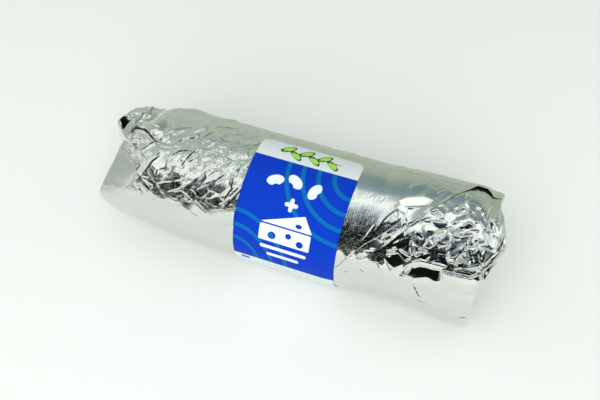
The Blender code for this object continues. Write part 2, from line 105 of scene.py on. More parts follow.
# Where folds lie is told by the photograph's pixels (600 x 400); seen_at finds the skin behind them. Each
# pressed facet is given the elevation that it faces, the degrees that it leans towards the right, and its
# corners.
GATHER_FACETS = (
    (41, 0, ((386, 247), (393, 243), (399, 240), (404, 246), (398, 250), (388, 252))),
    (50, 0, ((399, 240), (408, 237), (411, 239), (409, 246), (404, 246))),
    (60, 0, ((411, 239), (416, 247), (412, 257), (409, 250), (409, 246))),
    (15, 0, ((398, 249), (401, 249), (413, 257), (406, 262), (404, 261), (409, 258))),
    (40, 0, ((386, 254), (398, 253), (404, 260), (401, 266), (394, 269), (387, 263))),
    (18, 0, ((386, 254), (396, 251), (398, 253), (388, 257))),
    (14, 0, ((404, 276), (400, 275), (407, 266), (413, 261), (421, 259), (436, 263), (447, 266), (443, 270),
          (431, 268), (419, 265), (411, 269))),
    (40, 0, ((405, 275), (412, 268), (420, 266), (433, 269), (441, 271), (438, 282), (434, 282), (427, 278),
          (414, 279))),
    (41, 0, ((415, 257), (422, 255), (430, 252), (429, 257), (425, 260), (419, 259))),
    (57, 0, ((430, 252), (438, 253), (445, 256), (438, 260), (431, 262), (425, 260), (429, 257))),
    (78, 0, ((434, 251), (443, 253), (446, 257), (440, 256))),
    (68, 0, ((414, 255), (419, 249), (428, 250), (424, 254), (416, 257))),
    (71, 0, ((412, 241), (418, 245), (428, 248), (434, 251), (422, 250), (414, 246))),
    (70, 0, ((405, 231), (418, 221), (424, 225), (422, 232), (416, 230), (410, 236), (405, 236))),
    (42, 0, ((414, 232), (417, 231), (424, 238), (421, 240))),
    (58, 0, ((427, 233), (435, 231), (432, 237), (427, 240), (424, 240))),
    (78, 0, ((424, 222), (431, 221), (438, 230), (434, 231), (427, 232), (424, 228))),
    (59, 0, ((429, 220), (440, 222), (449, 222), (447, 227), (440, 231), (434, 226))),
    (72, 0, ((425, 219), (434, 216), (440, 219), (449, 222), (430, 220))),
    (80, 0, ((430, 212), (438, 210), (446, 219), (440, 219), (433, 216))),
    (92, 0, ((437, 206), (443, 205), (447, 211), (445, 217), (438, 211))),
    (73, 0, ((446, 213), (453, 211), (452, 219), (449, 222), (446, 219))),
    (72, 0, ((423, 247), (430, 236), (440, 229), (448, 227), (449, 231), (441, 240), (434, 246),
             (429, 249))),
    (69, 0, ((449, 227), (461, 222), (466, 224), (458, 230), (452, 236), (449, 233))),
    (72, 0, ((464, 204), (467, 200), (470, 208), (467, 212))),
    (47, 0, ((454, 211), (464, 206), (467, 209), (459, 213), (455, 214))),
    (72, 0, ((453, 210), (459, 206), (465, 203), (464, 206), (456, 210))),
    (90, 0, ((452, 224), (458, 216), (466, 212), (470, 215), (463, 221), (456, 224))),
    (73, 0, ((449, 223), (453, 212), (456, 214), (452, 223))),
    (98, 0, ((468, 212), (475, 213), (478, 218), (472, 219))),
    (74, 0, ((470, 220), (477, 219), (480, 223), (475, 225))),
    (41, 0, ((454, 233), (462, 226), (469, 222), (476, 227), (466, 229), (459, 232))),
    (73, 0, ((457, 236), (463, 231), (471, 228), (479, 228), (477, 230), (468, 231), (461, 235))),
    (86, 0, ((462, 235), (468, 231), (479, 230), (479, 232), (470, 234))),
    (42, 0, ((450, 239), (458, 237), (473, 236), (469, 238), (458, 240))),
    (20, 0, ((437, 245), (452, 241), (449, 246), (443, 249))),
    (42, 0, ((452, 238), (456, 239), (448, 248), (445, 249))),
    (64, 0, ((447, 253), (458, 245), (466, 241), (461, 250), (456, 257), (450, 258))),
    (71, 0, ((447, 253), (450, 258), (456, 257), (453, 264), (449, 263), (445, 257))),
    (73, 0, ((454, 264), (462, 253), (469, 240), (470, 243), (462, 257), (456, 266))),
    (43, 0, ((469, 240), (473, 239), (464, 255), (462, 257))),
    (62, 16, ((464, 248), (470, 252), (474, 261), (471, 264), (465, 257))),
    (78, 0, ((466, 248), (476, 240), (478, 243), (474, 252), (470, 251))),
    (42, 0, ((470, 243), (476, 240), (472, 248), (469, 247))),
    (60, 20, ((456, 262), (463, 256), (470, 260), (470, 264), (463, 266))),
    (42, 0, ((456, 266), (458, 262), (464, 264), (463, 268))),
    (40, 12, ((476, 250), (482, 248), (482, 262), (478, 258))),
    (42, 0, ((473, 252), (476, 252), (484, 264), (481, 264))),
    (80, 0, ((453, 270), (462, 267), (470, 266), (480, 264), (482, 268), (474, 274), (462, 272))),
    (40, 26, ((484, 248), (495, 253), (491, 260), (483, 267), (482, 256))),
    (42, 26, ((495, 255), (503, 243), (505, 250), (498, 262), (489, 270), (483, 280), (483, 270))),
    (70, 24, ((500, 207), (504, 212), (506, 238), (502, 250), (498, 254), (497, 240), (500, 225))),
    (97, 10, ((474, 209), (479, 208), (484, 218), (488, 230), (484, 230), (478, 219))),
    (100, 0, ((466, 211), (473, 212), (480, 222), (476, 224), (469, 217))),
    (66, 0, ((430, 240), (437, 233), (444, 231), (441, 238), (433, 245))),
    (72, 0, ((437, 247), (444, 244), (452, 242), (449, 246), (441, 250))),
    (14, 0, ((386, 250), (396, 247), (398, 249), (388, 253))),
    (88, 0, ((438, 192), (447, 190), (455, 194), (446, 199), (438, 203))),
    (76, 24, ((483, 231), (492, 234), (497, 238), (496, 252), (487, 246))),
    (90, 24, ((486, 208), (493, 202), (492, 213), (487, 226), (484, 220))),
    (46, 0, ((489, 232), (489, 223), (494, 210), (495, 232))),
    (92, 24, ((494, 204), (499, 211), (499, 232), (496, 238), (495, 222))),
    (104, 0, ((471, 194), (487, 194), (490, 203), (480, 206), (470, 203))),
    (89, 0, ((446, 203), (458, 196), (469, 193), (464, 201), (455, 206), (448, 208))),
    (45, 0, ((476, 206), (482, 207), (481, 210), (476, 209))),
    (72, 0, ((482, 212), (485, 210), (484, 218), (481, 216))),
)
MIDDLE_FACETS = (
    (77, 0, ((397, 200), (408, 196), (424, 195), (435, 199), (430, 206), (412, 207), (400, 207))),
    (74, -3, ((407, 208), (430, 207), (434, 206), (424, 214), (412, 223), (407, 224))),
    (69, 0, ((384, 222), (391, 213), (398, 209), (394, 214), (398, 221), (392, 225))),
    (80, 0, ((395, 213), (398, 210), (401, 218), (398, 221))),
    (72, 0, ((398, 209), (406, 214), (406, 224), (402, 226), (401, 218))),
    (54, 0, ((377, 228), (390, 224), (401, 226), (393, 230), (384, 234), (378, 234))),
    (63, 0, ((384, 234), (393, 230), (398, 231), (388, 239), (382, 240))),
    (38, 0, ((366, 239), (376, 238), (385, 243), (377, 249), (369, 249))),
    (20, 0, ((358, 254), (364, 250), (377, 250), (371, 254), (364, 258), (356, 258))),
    (80, 0, ((381, 199), (385, 196), (384, 203), (381, 206))),
    (84, 0, ((370, 195), (373, 192), (373, 198), (371, 199))),
    (24, 0, ((363, 266), (370, 267), (379, 269), (371, 270))),
)
LEFT_FACETS_SEEN = (
    (60, 12, ((125, 146), (131, 142), (134, 147), (133, 153), (127, 149))),
    (76, 24, ((131, 141), (136, 142), (136, 149), (134, 147))),
    (72, 26, ((128, 134), (136, 133), (139, 138), (131, 140))),
    (82, 22, ((139, 135), (147, 133), (151, 137), (142, 141))),
    (58, 16, ((136, 143), (143, 142), (140, 149), (137, 154), (136, 148))),
    (66, 8, ((127, 155), (133, 156), (139, 163), (136, 166), (130, 160))),
    (76, 22, ((137, 152), (141, 151), (143, 160), (140, 166), (138, 160))),
    (56, 8, ((155, 141), (158, 142), (155, 147), (144, 153), (142, 151))),
    (67, 20, ((143, 153), (149, 151), (151, 158), (147, 160))),
    (56, 8, ((146, 167), (152, 162), (157, 167), (154, 178), (148, 174))),
    (16, 0, ((141, 174), (147, 177), (154, 186), (150, 190), (144, 184))),
    (57, 0, ((150, 159), (160, 152), (168, 158), (166, 168), (156, 171), (151, 166))),
    (50, 0, ((160, 172), (172, 171), (184, 177), (180, 181), (164, 181))),
    (35, 0, ((156, 183), (165, 181), (178, 181), (183, 184), (180, 189), (168, 192), (160, 188))),
    (44, 0, ((168, 192), (181, 190), (188, 196), (178, 199), (172, 198))),
    (46, 0, ((184, 188), (192, 190), (197, 195), (192, 200), (187, 196))),
    (34, 0, ((195, 190), (204, 185), (209, 192), (203, 198), (197, 195))),
    (43, 0, ((208, 186), (222, 180), (233, 176), (230, 188), (220, 196), (210, 192))),
    (35, 0, ((205, 198), (220, 197), (226, 203), (214, 206), (206, 203))),
    (56, 0, ((198, 188), (205, 178), (214, 171), (224, 176), (210, 183))),
    (53, 0, ((222, 203), (232, 193), (240, 186), (240, 190), (230, 200), (224, 207))),
    (57, 0, ((179, 163), (185, 153), (191, 152), (186, 161))),
    (72, 0, ((186, 162), (198, 150), (202, 154), (191, 162))),
    (57, 0, ((156, 141), (163, 135), (172, 134), (168, 139), (176, 142), (166, 145))),
    (58, 0, ((175, 142), (186, 136), (200, 133), (198, 137), (184, 141), (176, 145))),
    (60, 0, ((189, 131), (202, 126), (204, 128), (192, 132))),
    (67, 0, ((172, 134), (188, 129), (208, 126), (206, 130), (188, 135), (174, 139))),
    (66, 0, ((158, 146), (168, 144), (180, 147), (178, 150), (164, 149))),
    (66, 0, ((205, 151), (218, 147), (222, 150), (210, 155), (205, 157))),
    (58, 0, ((215, 146), (224, 145), (228, 149), (219, 149))),
    (67, 0, ((222, 156), (238, 151), (249, 152), (247, 160), (234, 162))),
    (99, 12, ((152, 127), (157, 119), (164, 115), (175, 117), (174, 128), (162, 129))),
)
# Places below the crumples where the foil stays flatter than the roll: degrees, the elevation of their foot,
# and corners
LIPS = (
    (12.0, 20.0, ((442, 270), (456, 273), (470, 276), (482, 271), (483, 280), (474, 294), (458, 298),
                  (441, 293))),
    (9.0, 14.0, ((196, 200), (207, 211), (214, 210), (238, 208), (236, 226), (205, 222), (188, 209))),
)
LIP_BORDER = 0.5 * MM
LIP_CALM = 0.7                     # share of the crumples that a lip loses
STEEPEST_TILT = 26.0               # degrees by which a pressed facet may lean against the roll
STRAY_TILT = 4.0                   # most degrees by which its sideways lean strays
FACET_BOW = 9.0                    # how much it may bow: rise over distance squared
# Each set of pressed facets with its seed, the mm over which their borders are soft, the most mm that they
# lean in or out, and the share of fine creases that they lose
PRESSED = (
    (LEFT_FACETS_SEEN, 81, 0.45, 0.5, 0.6),
    (MIDDLE_FACETS, 82, 0.4, 0.6, 1.0),
    (GATHER_FACETS, 83, 0.2, 1.0, 1.0),
)

# Free edge of the outermost turn of foil, on the right
SEAM = ((352, 265), (362, 259), (371, 253.5), (385, 246), (400, 234), (412, 224.5), (424, 215.5),
        (437, 206.5), (450, 198.5), (460, 193.5), (470, 190), (479, 187.5), (487, 190), (494, 196.5))
# Its rise in mm at each corner
SEAM_LIFTS = (0.2, 0.35, 0.42, 0.42, 0.30, 0.18, 0.16, 0.16, 0.16, 0.18, 0.3, 1.0, 1.2, 0.4)
SEAM_BAND = 2.2 * MM               # width of the strip that rises to the free edge, where it hardly rises
SEAM_SPREAD = 4.0                  # and how much wider it is for each unit of rise
SEAM_SHADE_GAPS = ((0.10, 1, 6), (0.05, 4, 10), (0.8, 10, 14))     # painted shade strips: half width in mm, first corner, past last

# Folded edges: rise of the upper layer and half width of the painted shade strip beside it in mm, then the
# line, with the upper layer to the left of its direction. The last lies in the shade under the hood's arch.
EDGES = (
    (0.12, 0.05, ((103, 185), (112, 185), (125, 188), (137, 181))),
    (0.0, 0.45, ((137, 129), (142, 129.5), (147, 131))),
    (0.12, 0.10, ((480, 205), (484, 212), (488, 222))),
    (0.25, 0.22, ((483, 269), (488, 265), (494, 257))),
    (0.25, 0.16, ((496, 252), (502, 244), (505, 236))),
    (0.30, 0.17, ((141, 151), (148, 146), (155, 140))),
    (0.12, 0.12, ((126, 153), (131, 153.5), (136, 154.5))),
    (0.12, 0.08, ((131, 137), (134, 141), (136, 146))),
    (0.12, 0.08, ((136, 141), (143, 139), (150, 138.5))),
    (0.12, 0.07, ((128, 157), (133, 161), (137, 165))),
    (0.12, 0.10, ((142, 153), (146, 158), (148, 162))),
    (0.30, 0.24, ((136, 171), (139, 167), (140, 163))),
    (0.30, 0.22, ((143, 174), (148, 167), (152, 161), (156, 158))),
    (0.25, 0.22, ((137, 172), (141, 179), (144, 185), (148, 190))),
    (0.30, 0.26, ((149, 187), (154, 191), (160, 198))),
    (0.35, 0.28, ((153, 180), (158, 186), (164, 192), (170, 197), (176, 201), (182, 200), (188, 201))),
    (0.25, 0.20, ((183, 188), (187, 192), (189, 196))),
    (0.30, 0.22, ((194, 192), (199, 198), (207, 208), (213, 215))),
    (0.30, 0.34, ((184, 207), (190, 209), (194, 213), (199, 215))),
    (0.25, 0.22, ((224, 209), (232, 200), (241, 190))),
    (0.22, 0.20, ((226, 197), (231, 190), (233, 177))),
    (0.25, 0.20, ((174, 154), (179, 151), (185, 150), (192, 151))),
    (0.20, 0.15, ((184, 162), (190, 155), (198, 148))),
    (0.12, 0.06, ((217, 128), (223, 127), (234, 129))),
    (0.12, 0.06, ((172, 131), (182, 128), (193, 128))),
    (0.12, 0.08, ((219, 138), (225, 141), (230, 142))),
    (0.12, 0.06, ((196, 140), (204, 137), (212, 132))),
    (0.12, 0.05, ((380, 226), (384, 220), (390, 214), (397, 209))),
    (0.12, 0.05, ((398, 209), (402, 213), (405, 218))),
    (0.12, 0.09, ((334, 268), (341, 263), (347, 257))),
    (0.12, 0.12, ((343, 254), (347, 258))),
    (0.15, 0.14, ((359, 269), (364, 272))),
    (0.20, 0.16, ((372, 262), (377, 262), (380, 269))),
    (0.15, 0.12, ((345, 272), (347, 271))),
    (0.25, 0.22, ((413, 283), (419, 296), (422, 298))),
    (0.20, 0.18, ((386, 262), (389, 268), (391, 271))),
    (0.20, 0.20, ((414, 297), (419, 301), (426, 303))),
    (0.0, 0.10, ((458, 318), (466, 317))),
    (0.20, 0.15, ((448, 262), (452, 268), (454, 272))),
    (0.0, 0.36, ((145.5, 129), (149.7, 134.6), (153.6, 138.8), (157, 142.5))),
)
EDGE_REACH = 2.2 * MM              # how far back the upper layer's rise goes
RIDGE = ((347, 257), (357, 246), (366, 237), (374, 226))
RIDGE_RISE = 0.10 * MM
RIDGE_WIDTH = 0.45 * MM

# Camera, fitted to the photograph's outline (600 x 400) with the roll's axis as its frame
CAMERA_ELEVATION = 50.0
CAMERA_TURN = 20.9
CAMERA_DISTANCE = 309.4 * MM
CAMERA_AIM = (0.0, 3.18 * MM, 0.0)
CAMERA_LENS = 49.5
SENSOR_WIDTH = 36.0
PHOTO_WIDTH = 600
PHOTO_HEIGHT = 400


# ---------------------------------------------------------------------------------------------
# The plain skin
# ---------------------------------------------------------------------------------------------
def smooth_step(low, high, value):
    share = np.clip((value - low) / (high - low), 0.0, 1.0)
    return share * share * (3.0 - 2.0 * share)


def angle_window(elevation, centre, reach):
    """1 at the centre angle, falling smoothly to 0 at reach degrees to either side"""
    away = np.abs((elevation - centre + 180.0) % 360.0 - 180.0)
    return np.where(away < reach, np.cos(np.clip(away / reach, 0, 1) * math.pi / 2) ** 2, 0.0)


def barrel_radius(x, elevation):
    front = np.interp(x / MM, FRONT_X, FRONT_R) * MM - RADIUS
    back = np.interp(x / MM, BACK_X, BACK_R) * MM - RADIUS
    return (RADIUS + front * angle_window(elevation, FRONT_ELEVATION, PROFILE_REACH)
            + back * angle_window(elevation, BACK_ELEVATION, PROFILE_REACH))


def skin_base(meridian, elevation):
    """Uncrumpled skin about the axis. Meridian runs along the roll and on round each end"""
    hub = np.clip(meridian, LEFT_HUB, RIGHT_HUB)
    turn = np.clip((meridian - hub) / RADIUS, -math.pi / 2, math.pi / 2)
    angle = np.radians(elevation)
    ray = np.stack([np.sin(turn), -np.cos(turn) * np.cos(angle), np.cos(turn) * np.sin(angle)], -1)
    reach = np.full(meridian.shape, RADIUS)
    for _ in range(BARREL_PASSES):
        outward = np.maximum(np.cos(turn), LEAST_SLANT)
        reach = barrel_radius(hub + reach * ray[..., 0], elevation) / outward
    crowding = reach ** -EDGE_SHARPNESS
    for normal, distance in LEFT_FACETS:
        facing = np.maximum(ray @ np.array(normal), LEAST_FACING)
        crowding = crowding + np.where(meridian < hub, (distance * MM / facing) ** -EDGE_SHARPNESS, 0.0)
    rim = np.interp((elevation + 180.0) % 360.0 - 180.0, END_ELEVATION, END_X) * MM
    end = END_MIDDLE + (rim - END_MIDDLE) * smooth_step(*END_BLEND, np.cos(turn))
    facing = np.maximum(ray[..., 0], LEAST_FACING)
    crowding = crowding + np.where(meridian > hub, ((end - RIGHT_HUB) / facing) ** -EDGE_SHARPNESS, 0.0)
    reach = crowding ** (-1.0 / EDGE_SHARPNESS)
    point = ray * reach[..., None]
    point[..., 0] += hub
    return point


def skin_normal(meridian, elevation):
    low = np.clip(meridian - NORMAL_STEP, LEFT_HUB - RADIUS * LAST_TURN, None)
    high = np.clip(meridian + NORMAL_STEP, None, RIGHT_HUB + RADIUS * LAST_TURN)
    ahead = skin_base(high, elevation) - skin_base(low, elevation)
    aside = skin_base(meridian, elevation + NORMAL_TURN) - skin_base(meridian, elevation - NORMAL_TURN)
    normal = np.cross(ahead, aside)
    return normal / np.maximum(np.linalg.norm(normal, axis=-1, keepdims=True), TINY)


def meridian_of(x):
    """Meridian of the place on the skin that is x along the axis"""
    past_right = np.maximum(x - RIGHT_HUB, 0.0)
    past_left = np.maximum(LEFT_HUB - x, 0.0)
    inside = np.clip(x, LEFT_HUB, RIGHT_HUB)
    return inside + RADIUS * (np.arctan(past_right / RADIUS) - np.arctan(past_left / RADIUS))


def skin(meridian, elevation, relief):
    """Point that stands off the plain skin by the relief, in the frame, never under the floor"""
    point = skin_base(meridian, elevation) + skin_normal(meridian, elevation) * relief[..., None]
    point[..., 2] = np.maximum(point[..., 2], -FLOOR_DEPTH)
    return point + AXIS


# ---------------------------------------------------------------------------------------------
# The crumpled relief, as a height at every crossing of two sets of lines
# ---------------------------------------------------------------------------------------------
def graded(stops):
    """Lines at each stretch's own spacing: (start, end, spacing) ..."""
    parts = []
    for start, end, spacing in stops:
        count = max(2, round((end - start) / spacing))
        parts.append(np.linspace(start, end, count, endpoint=False))
    parts.append(np.array([stops[-1][1]]))
    return np.concatenate(parts)


POLE_GAP = 0.15 * MM               # the lines stop this far from the middle of each end
LEFT_POLE = LEFT_HUB - math.pi / 2 * RADIUS + POLE_GAP
RIGHT_POLE = RIGHT_HUB + math.pi / 2 * RADIUS - POLE_GAP
ALONG = graded((
    (LEFT_POLE, -80 * MM, 0.9 * MM),
    (-80 * MM, -14 * MM, 0.29 * MM),
    (-14 * MM, 21 * MM, 0.7 * MM),
    (21 * MM, 82 * MM, 0.285 * MM),
    (82 * MM, RIGHT_POLE, 0.9 * MM),
))
ROUND = graded(((-45.0, 150.0, 0.66), (150.0, 315.0, 2.2)))     # degrees, coarser where the photo can't see
AROUND = np.radians(ROUND) * RADIUS
GRID_M, GRID_E = np.meshgrid(ALONG, ROUND, indexing="ij")
LEAST_AREA = 1e-14                 # square metres; a smaller triangle is left out
ON_EDGE = 1e-9                     # share of a triangle by which a crossing may lie outside it
CELL_STRAY = 0.45                  # share of its cell by which a facet's corner strays
CELL_MARGIN = 2.5                  # cells beyond the sheet's border that still get corners
RIDGE_HALF = 0.55 * MM             # half width of the ridges along some facets' edges
RIDGE_TAPER = 0.3                  # share of a ridge's length over which each end fades
FOLD_TAPER = 0.4                   # the same for a scattered fold
UNDERSIDE_CALM = 9.0               # degrees, beside the line underneath where the sheet's two sides meet


def grid_window(corners, margin):
    """The grid's rows and columns near some corners, and the places of their crossings"""
    low = corners.min(axis=0) - margin
    high = corners.max(axis=0) + margin
    rows = slice(np.searchsorted(ALONG, low[0]), np.searchsorted(ALONG, high[0], side="right"))
    columns = slice(np.searchsorted(AROUND, low[1]), np.searchsorted(AROUND, high[1], side="right"))
    x, y = np.meshgrid(ALONG[rows], AROUND[columns], indexing="ij")
    return (rows, columns), x, y


def lay_triangle(height, corners, levels):
    """Writes one flat triangle's heights onto the grid"""
    window, across, up = grid_window(corners, 0.0)
    first, second, third = corners
    span = (second[0] - first[0]) * (third[1] - first[1]) - (third[0] - first[0]) * (second[1] - first[1])
    if not across.size or abs(span) < LEAST_AREA:
        return
    x = across - first[0]
    y = up - first[1]
    share_b = (x * (third[1] - first[1]) - y * (third[0] - first[0])) / span
    share_c = (y * (second[0] - first[0]) - x * (second[1] - first[1])) / span
    inside = (share_b >= -ON_EDGE) & (share_c >= -ON_EDGE) & (share_b + share_c <= 1 + ON_EDGE)
    level = levels[0] + share_b * (levels[1] - levels[0]) + share_c * (levels[2] - levels[0])
    height[window][inside] = level[inside]


def facets(corners, levels, cells, ridge, ridge_share, seed):
    """Height field that is flat across every triangle between the corners, with some edges creased"""
    height = np.zeros(GRID_M.shape)
    listed = [(float(a), float(b)) for a, b in cells]
    triangles = geometry.delaunay_2d_cdt(listed, [], [], 0, ON_EDGE)[2]
    for triangle in triangles:
        chosen = list(triangle)
        lay_triangle(height, corners[chosen], levels[chosen])
    if ridge_share > 0:
        draw = np.random.default_rng(seed)
        edges = sorted({tuple(sorted((t[i], t[(i + 1) % 3]))) for t in triangles for i in range(3)})
        for first, second in edges:
            if draw.random() < ridge_share:
                rise = ridge * draw.uniform(0.4, 1.0) * draw.choice((-1, 1))
                add_fold(height, corners[first], corners[second], RIDGE_HALF, rise, RIDGE_TAPER)
    return height


def crumple(size, seed, stretch=1.0, heading=0.0, ridge=0.0, ridge_share=0.0):
    """Random flat facets of about the given size, between -1 and 1, drawn out along one heading"""
    draw = np.random.default_rng(seed)
    turn = math.radians(heading)
    middle = np.array([LEFT_POLE + RIGHT_POLE, AROUND[0] + AROUND[-1]]) / 2
    reach = math.hypot(RIGHT_POLE - LEFT_POLE, GIRTH) / 2
    long_cells = int(reach / (size * stretch)) + 2
    short_cells = int(reach / size) + 2
    columns = np.arange(-long_cells, long_cells + 1)
    cell_u, cell_v = np.meshgrid(columns, np.arange(-short_cells, short_cells + 1))
    cells = np.stack([cell_u.ravel(), cell_v.ravel()], -1)
    cells = cells + draw.uniform(-CELL_STRAY, CELL_STRAY, (cell_u.size, 2))
    level = draw.uniform(-1, 1, len(cells))
    along = cells[:, 0] * size * stretch
    aside = cells[:, 1] * size
    corners = middle + np.stack([along * math.cos(turn) - aside * math.sin(turn),
                                 along * math.sin(turn) + aside * math.cos(turn)], -1)
    margin = CELL_MARGIN * size * stretch
    near = ((corners[:, 0] > LEFT_POLE - margin) & (corners[:, 0] < RIGHT_POLE + margin)
            & (corners[:, 1] > AROUND[0] - margin) & (corners[:, 1] < AROUND[-1] + margin))
    height = facets(corners[near], level[near], cells[near], ridge, ridge_share, seed + 100)
    away = np.minimum(GRID_E - ROUND[0], ROUND[-1] - GRID_E)
    return height * smooth_step(0.0, UNDERSIDE_CALM, away)


def add_fold(height, start, end, width, rise, taper):
    """Adds a straight tent-shaped fold between two places, with both ends fading out"""
    start = np.asarray(start)
    run = np.asarray(end) - start
    window, x, y = grid_window(np.stack([start, start + run]), width)
    if not x.size:
        return
    length = np.hypot(*run)
    x = x - start[0]
    y = y - start[1]
    along = (x * run[0] + y * run[1]) / length ** 2
    off = np.abs(x * run[1] - y * run[0]) / length
    beyond = np.maximum(np.maximum(-along, along - 1), 0) * length
    tent = np.clip(1 - np.hypot(off, beyond) / width, 0, 1)
    height[window] += rise * tent * np.clip(np.minimum(along, 1 - along) / taper, 0, 1)


def line_distance(x, y, corners):
    """Distance from a line with bends, and whether a place is on its left (1) or its right (-1)"""
    nearest = np.full(x.shape, np.inf)
    signed = np.zeros(x.shape)
    for start, end in zip(corners, corners[1:]):
        run = end - start
        share = np.clip(((x - start[0]) * run[0] + (y - start[1]) * run[1]) / (run @ run), 0, 1)
        off_x = x - start[0] - share * run[0]
        off_y = y - start[1] - share * run[1]
        distance = np.hypot(off_x, off_y)
        closer = distance < nearest
        nearest = np.where(closer, distance, nearest)
        signed = np.where(closer, np.sign(run[0] * off_y - run[1] * off_x), signed)
    return nearest, signed


def add_ridge(height, rise, width, corners):
    """Adds a tent-shaped ridge, or a groove if the rise is negative, along a line with bends"""
    window, x, y = grid_window(corners, width)
    distance, _ = line_distance(x, y, corners)
    height[window] += rise * np.clip(1 - distance / width, 0, 1)


def add_step(height, rise, reach, corners):
    """Lifts the foil on the left of a line, most at the line itself"""
    window, x, y = grid_window(corners, reach)
    distance, side = line_distance(x, y, corners)
    height[window] += rise * np.clip(1 - distance / reach, 0, 1) ** 1.5 * (side > 0)


def random_folds(count, seed, area, heading, spread, length, width, rise):
    """Straight folds scattered over an area (x and elevation ranges), near one heading in degrees"""
    draw = np.random.default_rng(seed)
    height = np.zeros(GRID_M.shape)
    for _ in range(count):
        x = draw.uniform(area[0], area[1]) * MM
        around = math.radians(draw.uniform(area[2], area[3])) * RADIUS
        angle = math.radians(heading + draw.uniform(-spread, spread))
        half = draw.uniform(*length) * MM / 2
        step = np.array([math.cos(angle), math.sin(angle)]) * half
        middle = np.array([meridian_of(np.float64(x)), around])
        high = draw.uniform(*rise) * MM * draw.choice((-1, 1))
        add_fold(height, middle - step, middle + step, draw.uniform(*width) * MM, high, FOLD_TAPER)
    return height


def patch(left, right, low, high, fade_along, fade_round):
    """1 inside a patch of the skin (mm and degrees), fading to 0 outside it"""
    wrapped = (GRID_E + 90.0) % 360.0 - 90.0
    x_share = (smooth_step(left - fade_along, left, GRID_M / MM)
               * (1 - smooth_step(right, right + fade_along, GRID_M / MM)))
    e_share = (smooth_step(low - fade_round, low, wrapped)
               * (1 - smooth_step(high, high + fade_round, wrapped)))
    return x_share * e_share


def under_label():
    """1 where the sticker covers the foil well inside its border, 0 outside the sticker"""
    around = RADIUS * np.radians((GRID_E + 180.0) % 360.0 - 180.0)
    inside = np.minimum(
        np.minimum(GRID_M - LABEL_LEFT, LABEL_RIGHT - GRID_M),
        np.minimum(around - RADIUS * math.radians(LABEL_LOW), RADIUS * math.radians(LABEL_HIGH) - around))
    return smooth_step(0.0, LABEL_BORDER, inside)


def camera_frame():
    """Where the camera is, relative to the roll's axis, and its backward, right and up directions"""
    elevation = math.radians(CAMERA_ELEVATION)
    turn = math.radians(CAMERA_TURN)
    back = np.array([math.sin(turn) * math.cos(elevation), -math.cos(turn) * math.cos(elevation),
                     math.sin(elevation)])
    right = np.array([math.cos(turn), math.sin(turn), 0.0])
    return np.array(CAMERA_AIM) + back * CAMERA_DISTANCE, back, right, np.cross(back, right)


SEARCH_ROUNDS = 39
SEARCH_STEP = 0.6                  # share of the clearance that each round closes


def elevation_of(points):
    return np.degrees(np.arctan2(points[:, 2], -points[:, 1]))


def skin_under(points):
    """Meridian, elevation and clearance above the plain skin of points about the axis"""
    hub = np.clip(points[:, 0], LEFT_HUB, RIGHT_HUB)
    off_axis = np.hypot(points[:, 1], points[:, 2])
    reach = np.hypot(points[:, 0] - hub, off_axis)
    elevation = elevation_of(points)
    turn = np.arctan2(points[:, 0] - hub, off_axis)
    meridian = hub + turn * RADIUS
    surface = skin_base(meridian, elevation)
    surface[:, 0] -= hub
    return meridian, elevation, reach - np.linalg.norm(surface, axis=-1)


def camera_rays(pixels):
    """The camera's place about the axis, and the directions in which it sees pixels of the photograph"""
    place, back, right, up = camera_frame()
    across, down = np.array(pixels, float).T
    scale = SENSOR_WIDTH / CAMERA_LENS / PHOTO_WIDTH
    return place, ((across - PHOTO_WIDTH / 2)[:, None] * scale * right
                   - (down - PHOTO_HEIGHT / 2)[:, None] * scale * up - back)


def first_met(pixels, clearance):
    """Where the camera's rays through pixels of the photograph first meet a surface about the axis"""
    place, rays = camera_rays(pixels)
    near = np.full(len(rays), CAMERA_DISTANCE - 3 * RADIUS)
    for _ in range(SEARCH_ROUNDS):
        near = near + SEARCH_STEP * clearance(place + rays * near[:, None])
    return place + rays * near[:, None]


def seen_at(pixels):
    """The plain skin behind pixels of the photograph, as meridian and elevation"""
    points = first_met(pixels, lambda tried: skin_under(tried)[2])
    return skin_under(points)[:2]


def on_sheet(pixels):
    """The same places on the unrolled sheet, in metres along and round the roll"""
    meridian, elevation = seen_at(pixels)
    return np.stack([meridian, np.radians(elevation) * RADIUS], -1)


def outside_polygon(x, y, corners):
    """Distance outside a polygon, negative inside it"""
    distance = np.full(x.shape, np.inf)
    inside = np.zeros(x.shape, bool)
    for (x0, y0), (x1, y1) in zip(corners, np.roll(corners, -1, axis=0)):
        run_x = x1 - x0
        run_y = y1 - y0
        share = np.clip(((x - x0) * run_x + (y - y0) * run_y) / (run_x ** 2 + run_y ** 2), 0, 1)
        distance = np.minimum(distance, np.hypot(x - x0 - share * run_x, y - y0 - share * run_y))
        crosses = (y0 > y) != (y1 > y)
        at = x0 + (y - y0) * run_x / (run_y or TINY)
        inside ^= crosses & (x < at)
    return np.where(inside, -distance, distance)


